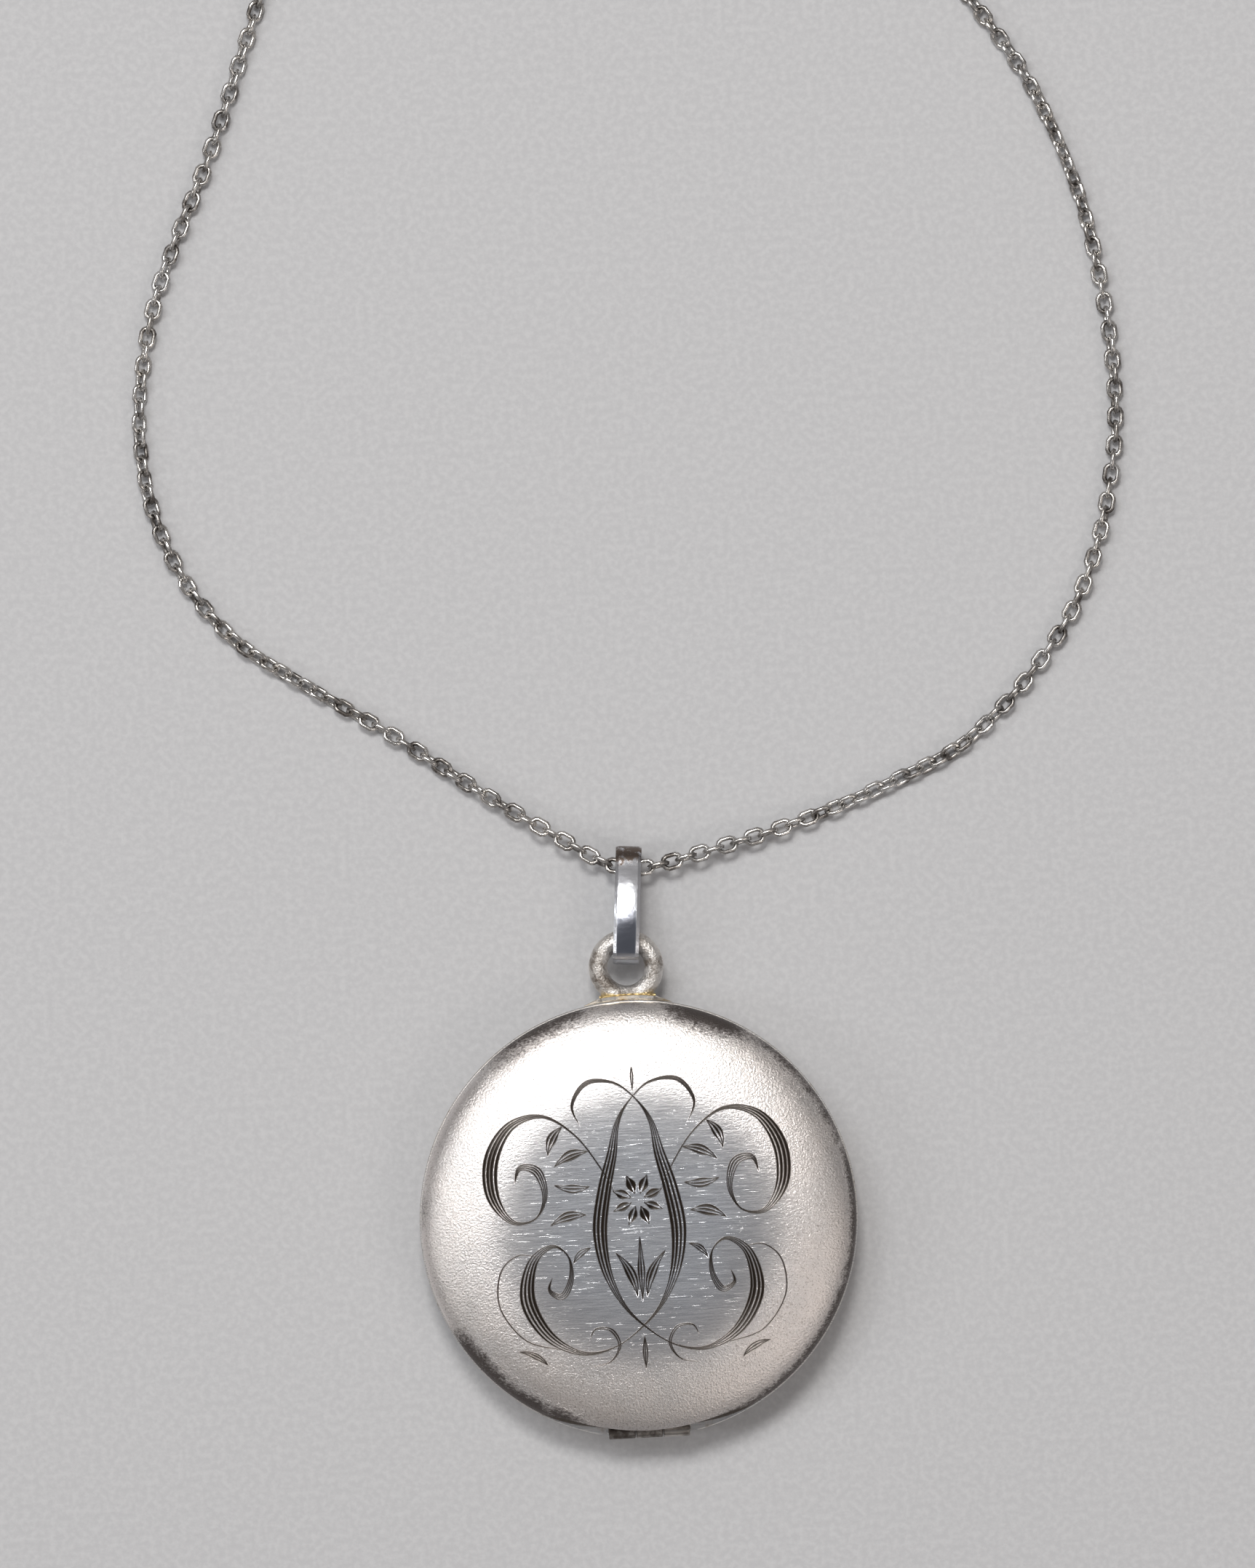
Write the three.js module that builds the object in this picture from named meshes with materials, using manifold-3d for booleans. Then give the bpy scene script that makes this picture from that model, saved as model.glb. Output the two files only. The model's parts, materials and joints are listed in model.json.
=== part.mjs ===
// A round silver picture locket on its trace chain, lying on its back with the chain laid out
// above it. Millimetres, +X to the right, +Y from the hinge to the chain, +Z out of the cover's face.
// The origin is the middle of the back cover's flat, which rests on the surface.
import * as THREE from 'three';
import { mergeVertices } from 'three/addons/utils/BufferGeometryUtils.js';
import Module from 'manifold-3d';

const wasm = await Module();
wasm.setup();

// ---------------------------------------------------------------- driving dimensions
const CASE_RADIUS = 14.0;          // back cover, over its wall
const CASE_HEIGHT = 6.0;           // both covers together
const WALL = 0.45;                 // sheet silver of the covers
const BACK_FLAT = 9.5;             // radius of the flat that the locket rests on
const SEAM = 3.3;                  // height of the back cover's rim
const GAP = 0.04;                  // running gap between neighbouring pieces
const PICTURE_RADIUS = 12.45;      // windows and pictures are cut to this
const SIGHT_RADIUS = 11.3;         // the opening of the picture frames
const LOOP_PLACE = 16.12;          // centre of the top loop, from the case's centre
const LOOP_HEIGHT = 2.4;           // and its height above the surface
const LOOP_HOLE = 1.14;            // radius of the top loop's hole
const LOOP_WIRE = 0.63;            // radius of its wire
const BAIL_LENGTH = 7.53;
const BAIL_WIDTH = 1.64;
const CHAIN = 1.15;                // diameter over the links
const HINGE_LENGTH = 5.2;
const HINGE_RADIUS = 0.36;

const CHAIN_LIES = CHAIN / 2 + 0.005;   // height of the chain's middle on the surface
const LOOP_MIDDLE = LOOP_HOLE + LOOP_WIRE;

// ---------------------------------------------------------------- shared shaping
const degrees = THREE.MathUtils.degToRad;

// Turns the faces outward where a closed profile was given clockwise.
function facingOut(geometry) {
  const closed = joined(geometry);
  const place = closed.attributes.position;
  const index = closed.index.array;
  const corner = [0, 1, 2].map(() => new THREE.Vector3());
  let volume = 0;
  for (let i = 0; i < index.length; i += 3) {
    corner.forEach((point, k) => point.fromBufferAttribute(place, index[i + k]));
    volume += corner[0].dot(corner[1].clone().cross(corner[2]));
  }
  if (volume < 0) {
    for (let i = 0; i < index.length; i += 3) {
      [index[i], index[i + 1]] = [index[i + 1], index[i]];
    }
  }
  return closed;
}

function joined(geometry) {
  const bare = geometry.clone();
  bare.deleteAttribute('normal');
  bare.deleteAttribute('uv');
  return mergeVertices(bare, 1e-4);
}

function solid(geometry) {
  const closed = facingOut(geometry);
  return new wasm.Manifold(new wasm.Mesh({
    numProp: 3,
    vertProperties: new Float32Array(closed.attributes.position.array),
    triVerts: new Uint32Array(closed.index.array),
  }));
}

function geometryOf(manifold) {
  const mesh = manifold.getMesh();
  const geometry = new THREE.BufferGeometry();
  geometry.setAttribute('position', new THREE.BufferAttribute(new Float32Array(mesh.vertProperties), 3));
  geometry.setIndex(new THREE.BufferAttribute(new Uint32Array(mesh.triVerts), 1));
  geometry.computeVertexNormals();
  return geometry;
}

function piece(name, geometry, finish) {
  const material = new THREE.MeshStandardMaterial(finish);
  const shaped = geometry.attributes.normal ? geometry : facingOut(geometry);
  const mesh = new THREE.Mesh(shaped, material);
  mesh.name = name;
  return mesh;
}

// A profile of [radius, height] turned about the vertical axis.
function turned(profile, segments) {
  const points = profile.map(([radius, height]) => new THREE.Vector2(radius, height));
  const geometry = new THREE.LatheGeometry(points, segments);
  geometry.rotateX(Math.PI / 2);
  return facingOut(geometry);
}

// The same, for a profile that doesn't reach the axis and closes on itself.
function turnedRing(profile, segments) {
  return turned([...profile, profile[0]], segments);
}

function disc(radius, low, high, segments) {
  return turned([[0, low], [radius, low], [radius, high], [0, high]], segments);
}

function roundBar(radius, path, steps, sides) {
  const section = new THREE.Shape().absarc(0, 0, radius, 0, 2 * Math.PI, false);
  return facingOut(new THREE.ExtrudeGeometry(section, {
    steps, curveSegments: sides / 2, bevelEnabled: false, extrudePath: path,
  }));
}

// ---------------------------------------------------------------- finishes
const SILVER = { color: 0xc9c5c1, metalness: 1, roughness: 0.32 };
const SATIN_SILVER = { color: 0xb3aca6, metalness: 1, roughness: 0.45 };
const DARK_SILVER = { color: 0x9b9692, metalness: 1, roughness: 0.38 };
const STEEL = { color: 0x8d8f92, metalness: 1, roughness: 0.3 };
const WINDOW = { color: 0xe9e6d8, metalness: 0, roughness: 0.1, transparent: true, opacity: 0.35 };
const CARD = { color: 0xd9cfbb, metalness: 0, roughness: 0.9 };

// ---------------------------------------------------------------- covers
const ROUND = 56;                    // segments round the covers
const EDGE_STEPS = 9;                // points along each curved edge
const BACK_BELLY = 2.3;              // height at which the back cover's wall turns upright
const FRONT_RADIUS = CASE_RADIUS - 0.1;
const FRONT_SEAM = SEAM + GAP;
const FRONT_SPRING = 3.9;            // height at which the front cover's wall starts to dome
const HINGE_PLACE = -13.62;          // the hinge lies in a flat on the rim, opposite the top loop
const HINGE_HEIGHT = (SEAM + FRONT_SEAM) / 2;
const RIM_FLAT = 6.6;                // length of the flat
const RIM_FLAT_HEIGHT = 3.2;

// What is cut from both covers and the snap rim for the hinge: a round gutter for its barrel, and
// a flat along it that lets the cover swing right over.
function hingeRoom() {
  const gutter = new THREE.CylinderGeometry(HINGE_RADIUS + GAP, HINGE_RADIUS + GAP,
    HINGE_LENGTH + 2 * GAP, 24);
  gutter.rotateZ(Math.PI / 2);
  gutter.translate(0, HINGE_PLACE, HINGE_HEIGHT);
  const flat = new THREE.BoxGeometry(RIM_FLAT, 1, RIM_FLAT_HEIGHT);
  flat.translate(0, HINGE_PLACE - 0.5, HINGE_HEIGHT);
  return solid(gutter).add(solid(flat));
}

// A quarter of an ellipse from the flat to the upright wall, from low to high.
function bellyEdge(reach, drop) {
  return Array.from({ length: EDGE_STEPS + 1 }, (_, i) => {
    const angle = (i / EDGE_STEPS) * Math.PI / 2;
    return [BACK_FLAT + reach * Math.sin(angle), BACK_BELLY - drop * Math.cos(angle)];
  });
}

function backCover() {
  const reach = CASE_RADIUS - BACK_FLAT;
  const outside = bellyEdge(reach, BACK_BELLY);
  const inside = bellyEdge(reach - WALL - GAP, BACK_BELLY - WALL);
  const rimInside = inside.at(-1)[0];
  const shell = turned([
    [0, 0], ...outside, [CASE_RADIUS, SEAM], [rimInside, SEAM],
    ...inside.reverse(), [0, WALL],
  ], ROUND);
  return geometryOf(solid(shell).subtract(hingeRoom()));
}

// Nearly flat in the middle and rounding over ever faster towards the rim.
function domeEdge(radius, rise) {
  return Array.from({ length: EDGE_STEPS + 2 }, (_, i) => {
    const angle = (1 - i / (EDGE_STEPS + 1)) * Math.PI / 2;
    return [radius * Math.sqrt(Math.sin(angle)), FRONT_SPRING + rise * Math.cos(angle)];
  });
}

// The front cover has a shallow nick in its lower edge, for a thumbnail.
const NICK_BEARING = degrees(62);
const NICK_RADIUS = 1.6;

function frontCover() {
  const innerRadius = FRONT_RADIUS - WALL;
  const outside = domeEdge(FRONT_RADIUS, CASE_HEIGHT - FRONT_SPRING);
  const inside = domeEdge(innerRadius, CASE_HEIGHT - FRONT_SPRING - WALL);
  const shell = turned([
    ...inside.reverse(), [innerRadius, FRONT_SEAM], [FRONT_RADIUS, FRONT_SEAM], ...outside,
  ], ROUND);
  const nick = new THREE.SphereGeometry(NICK_RADIUS, 16, 12);
  const reach = FRONT_RADIUS + NICK_RADIUS - WALL / 2;
  nick.translate(reach * Math.cos(NICK_BEARING), reach * Math.sin(NICK_BEARING), FRONT_SEAM - NICK_RADIUS / 2);
  return geometryOf(solid(shell).subtract(hingeRoom()).subtract(solid(nick)));
}

// ---------------------------------------------------------------- rims, frames, windows, pictures
const RING_ROUND = 48;
const COLLAR_OUTSIDE = 13.34;        // just inside both covers' walls
const COLLAR_INSIDE = 13.0;
const LEDGE = 12.1;                  // inner edge of the ledges behind the pictures
const LIP_INSIDE = 12.9;             // the front seat's turned-down lip

// Soldered in the back cover: the front cover snaps over its upstanding edge.
function snapRim() {
  const ring = turnedRing([
    [LEDGE, 2.45], [COLLAR_OUTSIDE, 2.45], [COLLAR_OUTSIDE, 3.6], [COLLAR_OUTSIDE - 0.1, 3.75],
    [COLLAR_INSIDE, 3.75], [COLLAR_INSIDE, 2.65], [LEDGE, 2.65],
  ], RING_ROUND);
  return geometryOf(solid(ring).subtract(hingeRoom()));
}

// Soldered in the front cover, to seat its picture.
const frontSeat = turnedRing([
  [LEDGE, 4.05], [LIP_INSIDE, 4.05], [LIP_INSIDE, 3.82], [13.2, 3.82], [13.2, 4.2], [LEDGE, 4.2],
], RING_ROUND);

// A frame is a flat ring with a bevelled sight edge and a skirt that grips its seat.
function pictureFrame(face, outside, skirt) {
  const toBack = Math.sign(skirt - face);
  const underside = face + toBack * 0.22;
  return turnedRing([
    [SIGHT_RADIUS, underside], [SIGHT_RADIUS + 0.2, face], [outside - 0.12, face],
    [outside, face + toBack * 0.08], [outside, skirt], [12.5, skirt], [12.5, underside],
  ], RING_ROUND);
}

const backFrame = pictureFrame(3.28, COLLAR_INSIDE - 0.05, 2.72);
const frontFrame = pictureFrame(3.42, LIP_INSIDE - 0.05, 3.98);
const backWindow = disc(PICTURE_RADIUS, 2.86, 3.02, RING_ROUND);
const frontWindow = disc(PICTURE_RADIUS, 3.68, 3.84, RING_ROUND);
const backPicture = disc(PICTURE_RADIUS, 2.69, 2.82, RING_ROUND);
const frontPicture = disc(PICTURE_RADIUS, 3.88, 4.01, RING_ROUND);

// ---------------------------------------------------------------- hinge
const KNUCKLE_ROUND = 20;
const PIN_RADIUS = 0.19;
const BORE_RADIUS = PIN_RADIUS + 0.03;
const KNUCKLE_LENGTH = (HINGE_LENGTH - 2 * GAP) / 3;

function onHinge(geometry, middle) {
  geometry.rotateY(Math.PI / 2);
  geometry.translate(middle, HINGE_PLACE, HINGE_HEIGHT);
  return geometry;
}

function knuckle(middle) {
  const half = KNUCKLE_LENGTH / 2;
  return onHinge(turnedRing([
    [BORE_RADIUS, -half], [HINGE_RADIUS, -half], [HINGE_RADIUS, half], [BORE_RADIUS, half],
  ], KNUCKLE_ROUND), middle);
}

function hingePin() {
  const half = HINGE_LENGTH / 2;
  const shoulder = PIN_RADIUS - 0.08;
  return onHinge(turned([
    [0, -half - 0.08], [shoulder, -half - 0.05], [PIN_RADIUS, -half], [PIN_RADIUS, half],
    [shoulder, half + 0.05], [0, half + 0.08],
  ], KNUCKLE_ROUND), 0);
}

// ---------------------------------------------------------------- top loop and its foot
const FOOT_TOP = CASE_RADIUS + 0.34;
const FOOT_BOTTOM = CASE_RADIUS + 0.06;
const FOOT_HALF = 2.7;
const FOOT_NECK = 1.75;
const FOOT_THICK = 1.3;

// The cast ring, its bottom filed to the foot's curve.
function topLoop() {
  const ring = new THREE.TorusGeometry(LOOP_MIDDLE, LOOP_WIRE, 14, 40);
  ring.translate(0, LOOP_PLACE, LOOP_HEIGHT);
  const file = disc(FOOT_TOP + GAP, 0, CASE_HEIGHT, 120);
  return geometryOf(solid(ring).subtract(solid(file)));
}

// A saddle that flares from the loop's neck onto the back cover's wall.
function loopFoot() {
  const rise = (radius, x) => Math.sqrt(radius * radius - x * x);
  const neckAngle = Math.asin(FOOT_NECK / FOOT_TOP);
  const tipAngle = Math.asin(FOOT_HALF / FOOT_BOTTOM);
  const saddle = new THREE.Shape();
  saddle.absarc(0, 0, FOOT_BOTTOM, Math.PI / 2 - tipAngle, Math.PI / 2 + tipAngle, false);
  saddle.lineTo(-FOOT_HALF, rise(FOOT_BOTTOM, FOOT_HALF) + 0.08);
  saddle.quadraticCurveTo(-FOOT_NECK - 0.3, rise(FOOT_BOTTOM, FOOT_NECK) + 0.1,
    -FOOT_NECK, rise(FOOT_TOP, FOOT_NECK));
  saddle.absarc(0, 0, FOOT_TOP, Math.PI / 2 + neckAngle, Math.PI / 2 - neckAngle, true);
  saddle.quadraticCurveTo(FOOT_NECK + 0.3, rise(FOOT_BOTTOM, FOOT_NECK) + 0.1,
    FOOT_HALF, rise(FOOT_BOTTOM, FOOT_HALF) + 0.08);
  saddle.closePath();
  const geometry = new THREE.ExtrudeGeometry(saddle, {
    depth: FOOT_THICK, curveSegments: 10, bevelEnabled: false,
  });
  geometry.translate(0, 0, LOOP_HEIGHT - FOOT_THICK / 2);
  return facingOut(geometry);
}

// ---------------------------------------------------------------- bail
// A flat band bent into a long loop: round where the chain runs, squarer where it hangs in the ring.
const BAIL_BAND = 0.4;
const BAIL_HALF_DEPTH = 1.42;
const BAIL_CORNER = 0.75;
const BAIL_BELOW = 1.51;              // from the ring wire's middle to the bail's lower end
const BAIL_YAW = degrees(-4.5);
const BAIL_DROOP = degrees(10);
const BAIL_ASIDE = 0.1;

function bailOutline(target, inset) {
  const half = BAIL_HALF_DEPTH - inset;
  const corner = BAIL_CORNER - inset;
  const low = -BAIL_BELOW + inset;
  const bend = BAIL_LENGTH - BAIL_BELOW - BAIL_HALF_DEPTH;
  target.moveTo(low + corner, -half);
  target.lineTo(bend, -half);
  target.absarc(bend, 0, half, -Math.PI / 2, Math.PI / 2, false);
  target.lineTo(low + corner, half);
  target.absarc(low + corner, half - corner, corner, Math.PI / 2, Math.PI, false);
  target.absarc(low + corner, corner - half, corner, Math.PI, 1.5 * Math.PI, false);
  return target;
}

function bail() {
  const side = bailOutline(new THREE.Shape(), 0);
  side.holes.push(bailOutline(new THREE.Path(), BAIL_BAND));
  const band = new THREE.ExtrudeGeometry(side, {
    depth: BAIL_WIDTH, curveSegments: 8, bevelEnabled: false,
  });
  band.translate(0, 0, -BAIL_WIDTH / 2);
  const sideways = new THREE.Matrix4().makeBasis(
    new THREE.Vector3(0, 1, 0), new THREE.Vector3(0, 0, 1), new THREE.Vector3(1, 0, 0));
  band.applyMatrix4(sideways);
  return facingOut(band);
}

// ---------------------------------------------------------------- chain
// It runs from the coil down the left side, through the bail, and up the right side to the clasp.
const CHAIN_ROUTE = [
  [-18.6, 86.4, 0.58], [-19.5, 82.6, 0.58], [-20.4, 79.2, 0.58], [-21.8, 75.4, 0.58],
  [-23.2, 71.6, 0.58], [-24.7, 67.9, 0.58], [-26.4, 64.2, 0.58], [-27.9, 60.5, 0.58],
  [-28.9, 56.6, 0.58], [-29.4, 52.7, 0.58], [-29.2, 48.6, 0.58], [-28.2, 44.8, 0.58],
  [-26.4, 41.2, 0.58], [-23.8, 38.1, 0.58], [-20.6, 35.8, 0.58], [-17.2, 33.6, 0.58],
  [-13.8, 31.4, 0.62], [-10.6, 29.1, 0.78], [-7.3, 26.8, 1.04], [-3.9, 24.6, 1.34],
  [-1.0, 22.8, 1.53], [0.5, 22.45, 1.56], [2.3, 22.5, 1.53], [6.5, 23.5, 1.3],
  [10.4, 24.5, 0.98], [14.3, 25.8, 0.74], [18.1, 27.3, 0.62], [21.8, 29.0, 0.58],
  [25.0, 31.6, 0.58], [27.7, 34.6, 0.58], [30.0, 38.0, 0.58], [31.6, 41.8, 0.58],
  [32.6, 45.8, 0.58], [33.1, 49.8, 0.58], [33.0, 54.9, 0.58], [32.2, 61.0, 0.58],
  [30.9, 66.0, 0.58], [28.5, 71.8, 0.58], [25.3, 76.8, 0.58], [22.6, 80.5, 0.7],
  [20.2, 83.6, 1.1],
];
const COIL_MIDDLE = [-10.2, 90.8];
const COIL_OUTER_TURN = 8.0;
const COIL_INNER_TURN = 4.98;
const TAIL_ROUTE = [
  [-4.7, 98.6, 1.05], [-1.0, 98.1, 0.7], [3.0, 97.0, 0.58], [7.2, 95.2, 0.58],
  [11.0, 92.9, 0.7], [14.03, 90.62, 1.0],
];
const TUBE_SIDES = 8;

function chainTube(route, steps) {
  const points = route.map(([x, y, z]) => new THREE.Vector3(x, y, z));
  return roundBar(CHAIN / 2, new THREE.CatmullRomCurve3(points), steps, TUBE_SIDES);
}

// The length that is put away, in two layers of turns.
function chainCoil() {
  const inner = COIL_INNER_TURN - CHAIN / 2;
  const outer = COIL_OUTER_TURN + CHAIN / 2;
  const high = CHAIN_LIES + 1.5 * CHAIN;
  const ring = turnedRing([
    [inner, 0.3], [inner + 0.3, 0], [outer - 0.3, 0], [outer, 0.3],
    [outer, high - 0.3], [outer - 0.3, high], [inner + 0.3, high], [inner, high - 0.3],
  ], 40);
  ring.translate(...COIL_MIDDLE, 0);
  return ring;
}

// ---------------------------------------------------------------- spring-ring clasp
// Built about its own middle, with +X towards the tail of the chain.
const CLASP_PLACE = [17.53, 86.64, 1.0];
const CLASP_BEARING = degrees(131.3);
const CLASP_MIDDLE = 2.25;           // radius of the ring at the middle of its tube
const CLASP_TUBE = 0.5;
const CLASP_BORE = 0.32;
const BOLT_RADIUS = 0.27;
const MOUTH_FROM = 95;               // the mouth that the bolt closes, in degrees round the ring
const MOUTH_TO = 150;
const BOLT_TAIL = 45;
const BOLT_TIP = 154;
const KNOB_AT = 80;
const BOLT_TRAVEL = 48;

class Arc extends THREE.Curve {
  constructor(from, to, height = 0) {
    super();
    Object.assign(this, { from: degrees(from), to: degrees(to), height });
  }

  getPoint(t, target = new THREE.Vector3()) {
    const angle = this.from + (this.to - this.from) * t;
    return target.set(CLASP_MIDDLE * Math.cos(angle), CLASP_MIDDLE * Math.sin(angle), this.height);
  }
}

function claspRing() {
  const full = 360;
  const tube = solid(roundBar(CLASP_TUBE, new Arc(MOUTH_TO, full + MOUTH_FROM), 34, 12));
  const bore = solid(roundBar(CLASP_BORE, new Arc(full - 58, full + MOUTH_FROM + 5), 20, 10));
  const socket = solid(roundBar(CLASP_BORE, new Arc(MOUTH_TO - 5, BOLT_TIP + 3), 3, 10));
  const slotFrom = KNOB_AT - BOLT_TRAVEL - 7;
  const slot = solid(roundBar(0.17, new Arc(slotFrom, KNOB_AT + 7, 0.46), 8, 8));
  return geometryOf(tube.subtract(bore).subtract(socket).subtract(slot));
}

const claspBolt = roundBar(BOLT_RADIUS, new Arc(BOLT_TAIL, BOLT_TIP), 14, 10);

function claspKnob() {
  const knob = turned([
    [0, 0.3], [0.13, 0.3], [0.13, 0.56], [0.3, 0.62], [0.36, 0.78], [0.26, 0.94], [0, 1.0],
  ], 12);
  const angle = degrees(KNOB_AT);
  knob.translate(CLASP_MIDDLE * Math.cos(angle), CLASP_MIDDLE * Math.sin(angle), 0);
  return knob;
}

// The spring behind the bolt, coiled inside the tube.
class SpringPath extends Arc {
  getPoint(t, target = new THREE.Vector3()) {
    super.getPoint(t, target);
    const winding = 2 * Math.PI * 9 * t;
    const radius = 0.19;
    target.multiplyScalar(1 + (radius / CLASP_MIDDLE) * Math.cos(winding));
    target.z = radius * Math.sin(winding);
    return target;
  }
}

const claspSpring = roundBar(0.06, new SpringPath(-55, BOLT_TAIL - 2), 81, 6);

function linkRing(middle, wire, place, lean) {
  const ring = new THREE.TorusGeometry(middle, wire, 8, 24);
  ring.rotateX(lean);
  ring.translate(...place);
  return facingOut(ring);
}

const EYE_MIDDLE = 0.6;
const EYE_WIRE = 0.2;
const EYE_PLACE = CLASP_MIDDLE + CLASP_TUBE + 0.03 + EYE_MIDDLE + EYE_WIRE;
const TAIL_RING = 0.7;

const claspEye = linkRing(EYE_MIDDLE, EYE_WIRE, [EYE_PLACE, 0, 0], 0);
const jumpRingTail = linkRing(TAIL_RING, 0.17, [EYE_PLACE + TAIL_RING, 0, 0], Math.PI / 2);
const jumpRingRun = linkRing(1.2, 0.2, [-2.5, 0, 0.23], degrees(60));

// ---------------------------------------------------------------- assembly
const locket = new THREE.Group();

locket.add(
  piece('back_cover', backCover(), SILVER),
  piece('snap_rim', snapRim(), SILVER),
  piece('back_picture', backPicture, CARD),
  piece('back_window', backWindow, WINDOW),
  piece('back_frame', backFrame, SILVER),
  piece('hinge_knuckle_left', knuckle(-KNUCKLE_LENGTH - GAP), DARK_SILVER),
  piece('hinge_knuckle_right', knuckle(KNUCKLE_LENGTH + GAP), DARK_SILVER),
  piece('hinge_pin', hingePin(), STEEL),
  piece('loop_foot', loopFoot(), SATIN_SILVER),
  piece('top_loop', topLoop(), SATIN_SILVER),
);

locket.add(
  piece('front_cover', frontCover(), SILVER),
  piece('front_seat', frontSeat, SILVER),
  piece('front_picture', frontPicture, CARD),
  piece('front_window', frontWindow, WINDOW),
  piece('front_frame', frontFrame, SILVER),
  piece('hinge_knuckle_centre', knuckle(0), DARK_SILVER),
);

const bailPlace = new THREE.Group();
bailPlace.position.set(BAIL_ASIDE, LOOP_PLACE + LOOP_MIDDLE, LOOP_HEIGHT);
bailPlace.rotation.z = BAIL_YAW;
const bailPiece = piece('bail', bail(), SILVER);
bailPiece.rotation.x = -BAIL_DROOP;
bailPlace.add(bailPiece);
locket.add(bailPlace);

locket.add(
  piece('chain_run', chainTube(CHAIN_ROUTE, 64), DARK_SILVER),
  piece('chain_coil', chainCoil(), DARK_SILVER),
  piece('chain_tail', chainTube(TAIL_ROUTE, 9), DARK_SILVER),
);

const clasp = new THREE.Group();
clasp.position.set(...CLASP_PLACE);
clasp.rotation.z = CLASP_BEARING;
clasp.add(
  piece('clasp_ring', claspRing(), SILVER),
  piece('clasp_eye', claspEye, SILVER),
  piece('clasp_bolt', claspBolt, STEEL),
  piece('clasp_knob', claspKnob(), SILVER),
  piece('clasp_spring', claspSpring, STEEL),
  piece('jump_ring_tail', jumpRingTail, SILVER),
  piece('jump_ring_run', jumpRingRun, SILVER),
);
locket.add(clasp);

export default locket;
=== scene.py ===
import json
import math
import random

import bmesh
import bpy
from mathutils import Matrix, Vector, noise


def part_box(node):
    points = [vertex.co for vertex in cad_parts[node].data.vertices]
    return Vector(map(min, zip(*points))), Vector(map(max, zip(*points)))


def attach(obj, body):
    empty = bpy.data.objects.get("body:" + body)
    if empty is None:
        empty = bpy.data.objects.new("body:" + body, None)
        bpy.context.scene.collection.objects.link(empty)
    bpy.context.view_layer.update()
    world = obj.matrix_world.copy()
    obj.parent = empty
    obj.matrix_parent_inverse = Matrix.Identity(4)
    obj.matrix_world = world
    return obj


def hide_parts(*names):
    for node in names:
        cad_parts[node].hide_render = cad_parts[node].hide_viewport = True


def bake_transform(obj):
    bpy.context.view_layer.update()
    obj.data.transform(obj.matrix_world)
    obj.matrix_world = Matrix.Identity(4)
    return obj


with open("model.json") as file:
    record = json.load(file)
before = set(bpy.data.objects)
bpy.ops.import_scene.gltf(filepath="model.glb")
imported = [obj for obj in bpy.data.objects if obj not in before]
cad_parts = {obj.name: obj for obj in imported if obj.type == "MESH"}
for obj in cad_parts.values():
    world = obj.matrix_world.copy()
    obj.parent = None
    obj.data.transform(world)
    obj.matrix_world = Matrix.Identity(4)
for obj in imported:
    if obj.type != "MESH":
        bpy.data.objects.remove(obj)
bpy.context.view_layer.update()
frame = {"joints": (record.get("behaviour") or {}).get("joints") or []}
joints = {joint["name"]: joint for joint in frame["joints"]}

# ---------------------------------------------------------------- table, light and camera
# The necklace lies on a pale sheet of matt paper. One softbox stands beyond the chain, a wide one
# leans over the upper left of the locket, a tall strip stands to the left and a weak warm one fills
# from the lower right. The camera looks straight down on the locket.
PAPER = (0.63, 0.63, 0.64)
PAPER_SPECK = (0.57, 0.57, 0.582)
TABLE = 6.0
VIEW_MIDDLE = (0.000685, 0.02781)
VIEW_HEIGHT = 0.1006
VIEW_TURN = math.radians(-2.9)
CAMERA_DISTANCE = 0.9
SENSOR = 36.0
# The soft light all round: its colour at each height from the horizon to overhead.
STUDIO_TONES = [
    (0.0, (0.20, 0.2, 0.21, 1)), (0.35, (0.15, 0.145, 0.145, 1)), (0.62, (0.32, 0.305, 0.295, 1)),
    (0.88, (0.32, 0.305, 0.295, 1)), (0.97, (0.14, 0.147, 0.162, 1)), (1.0, (0.13, 0.135, 0.15, 1)),
]


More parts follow.
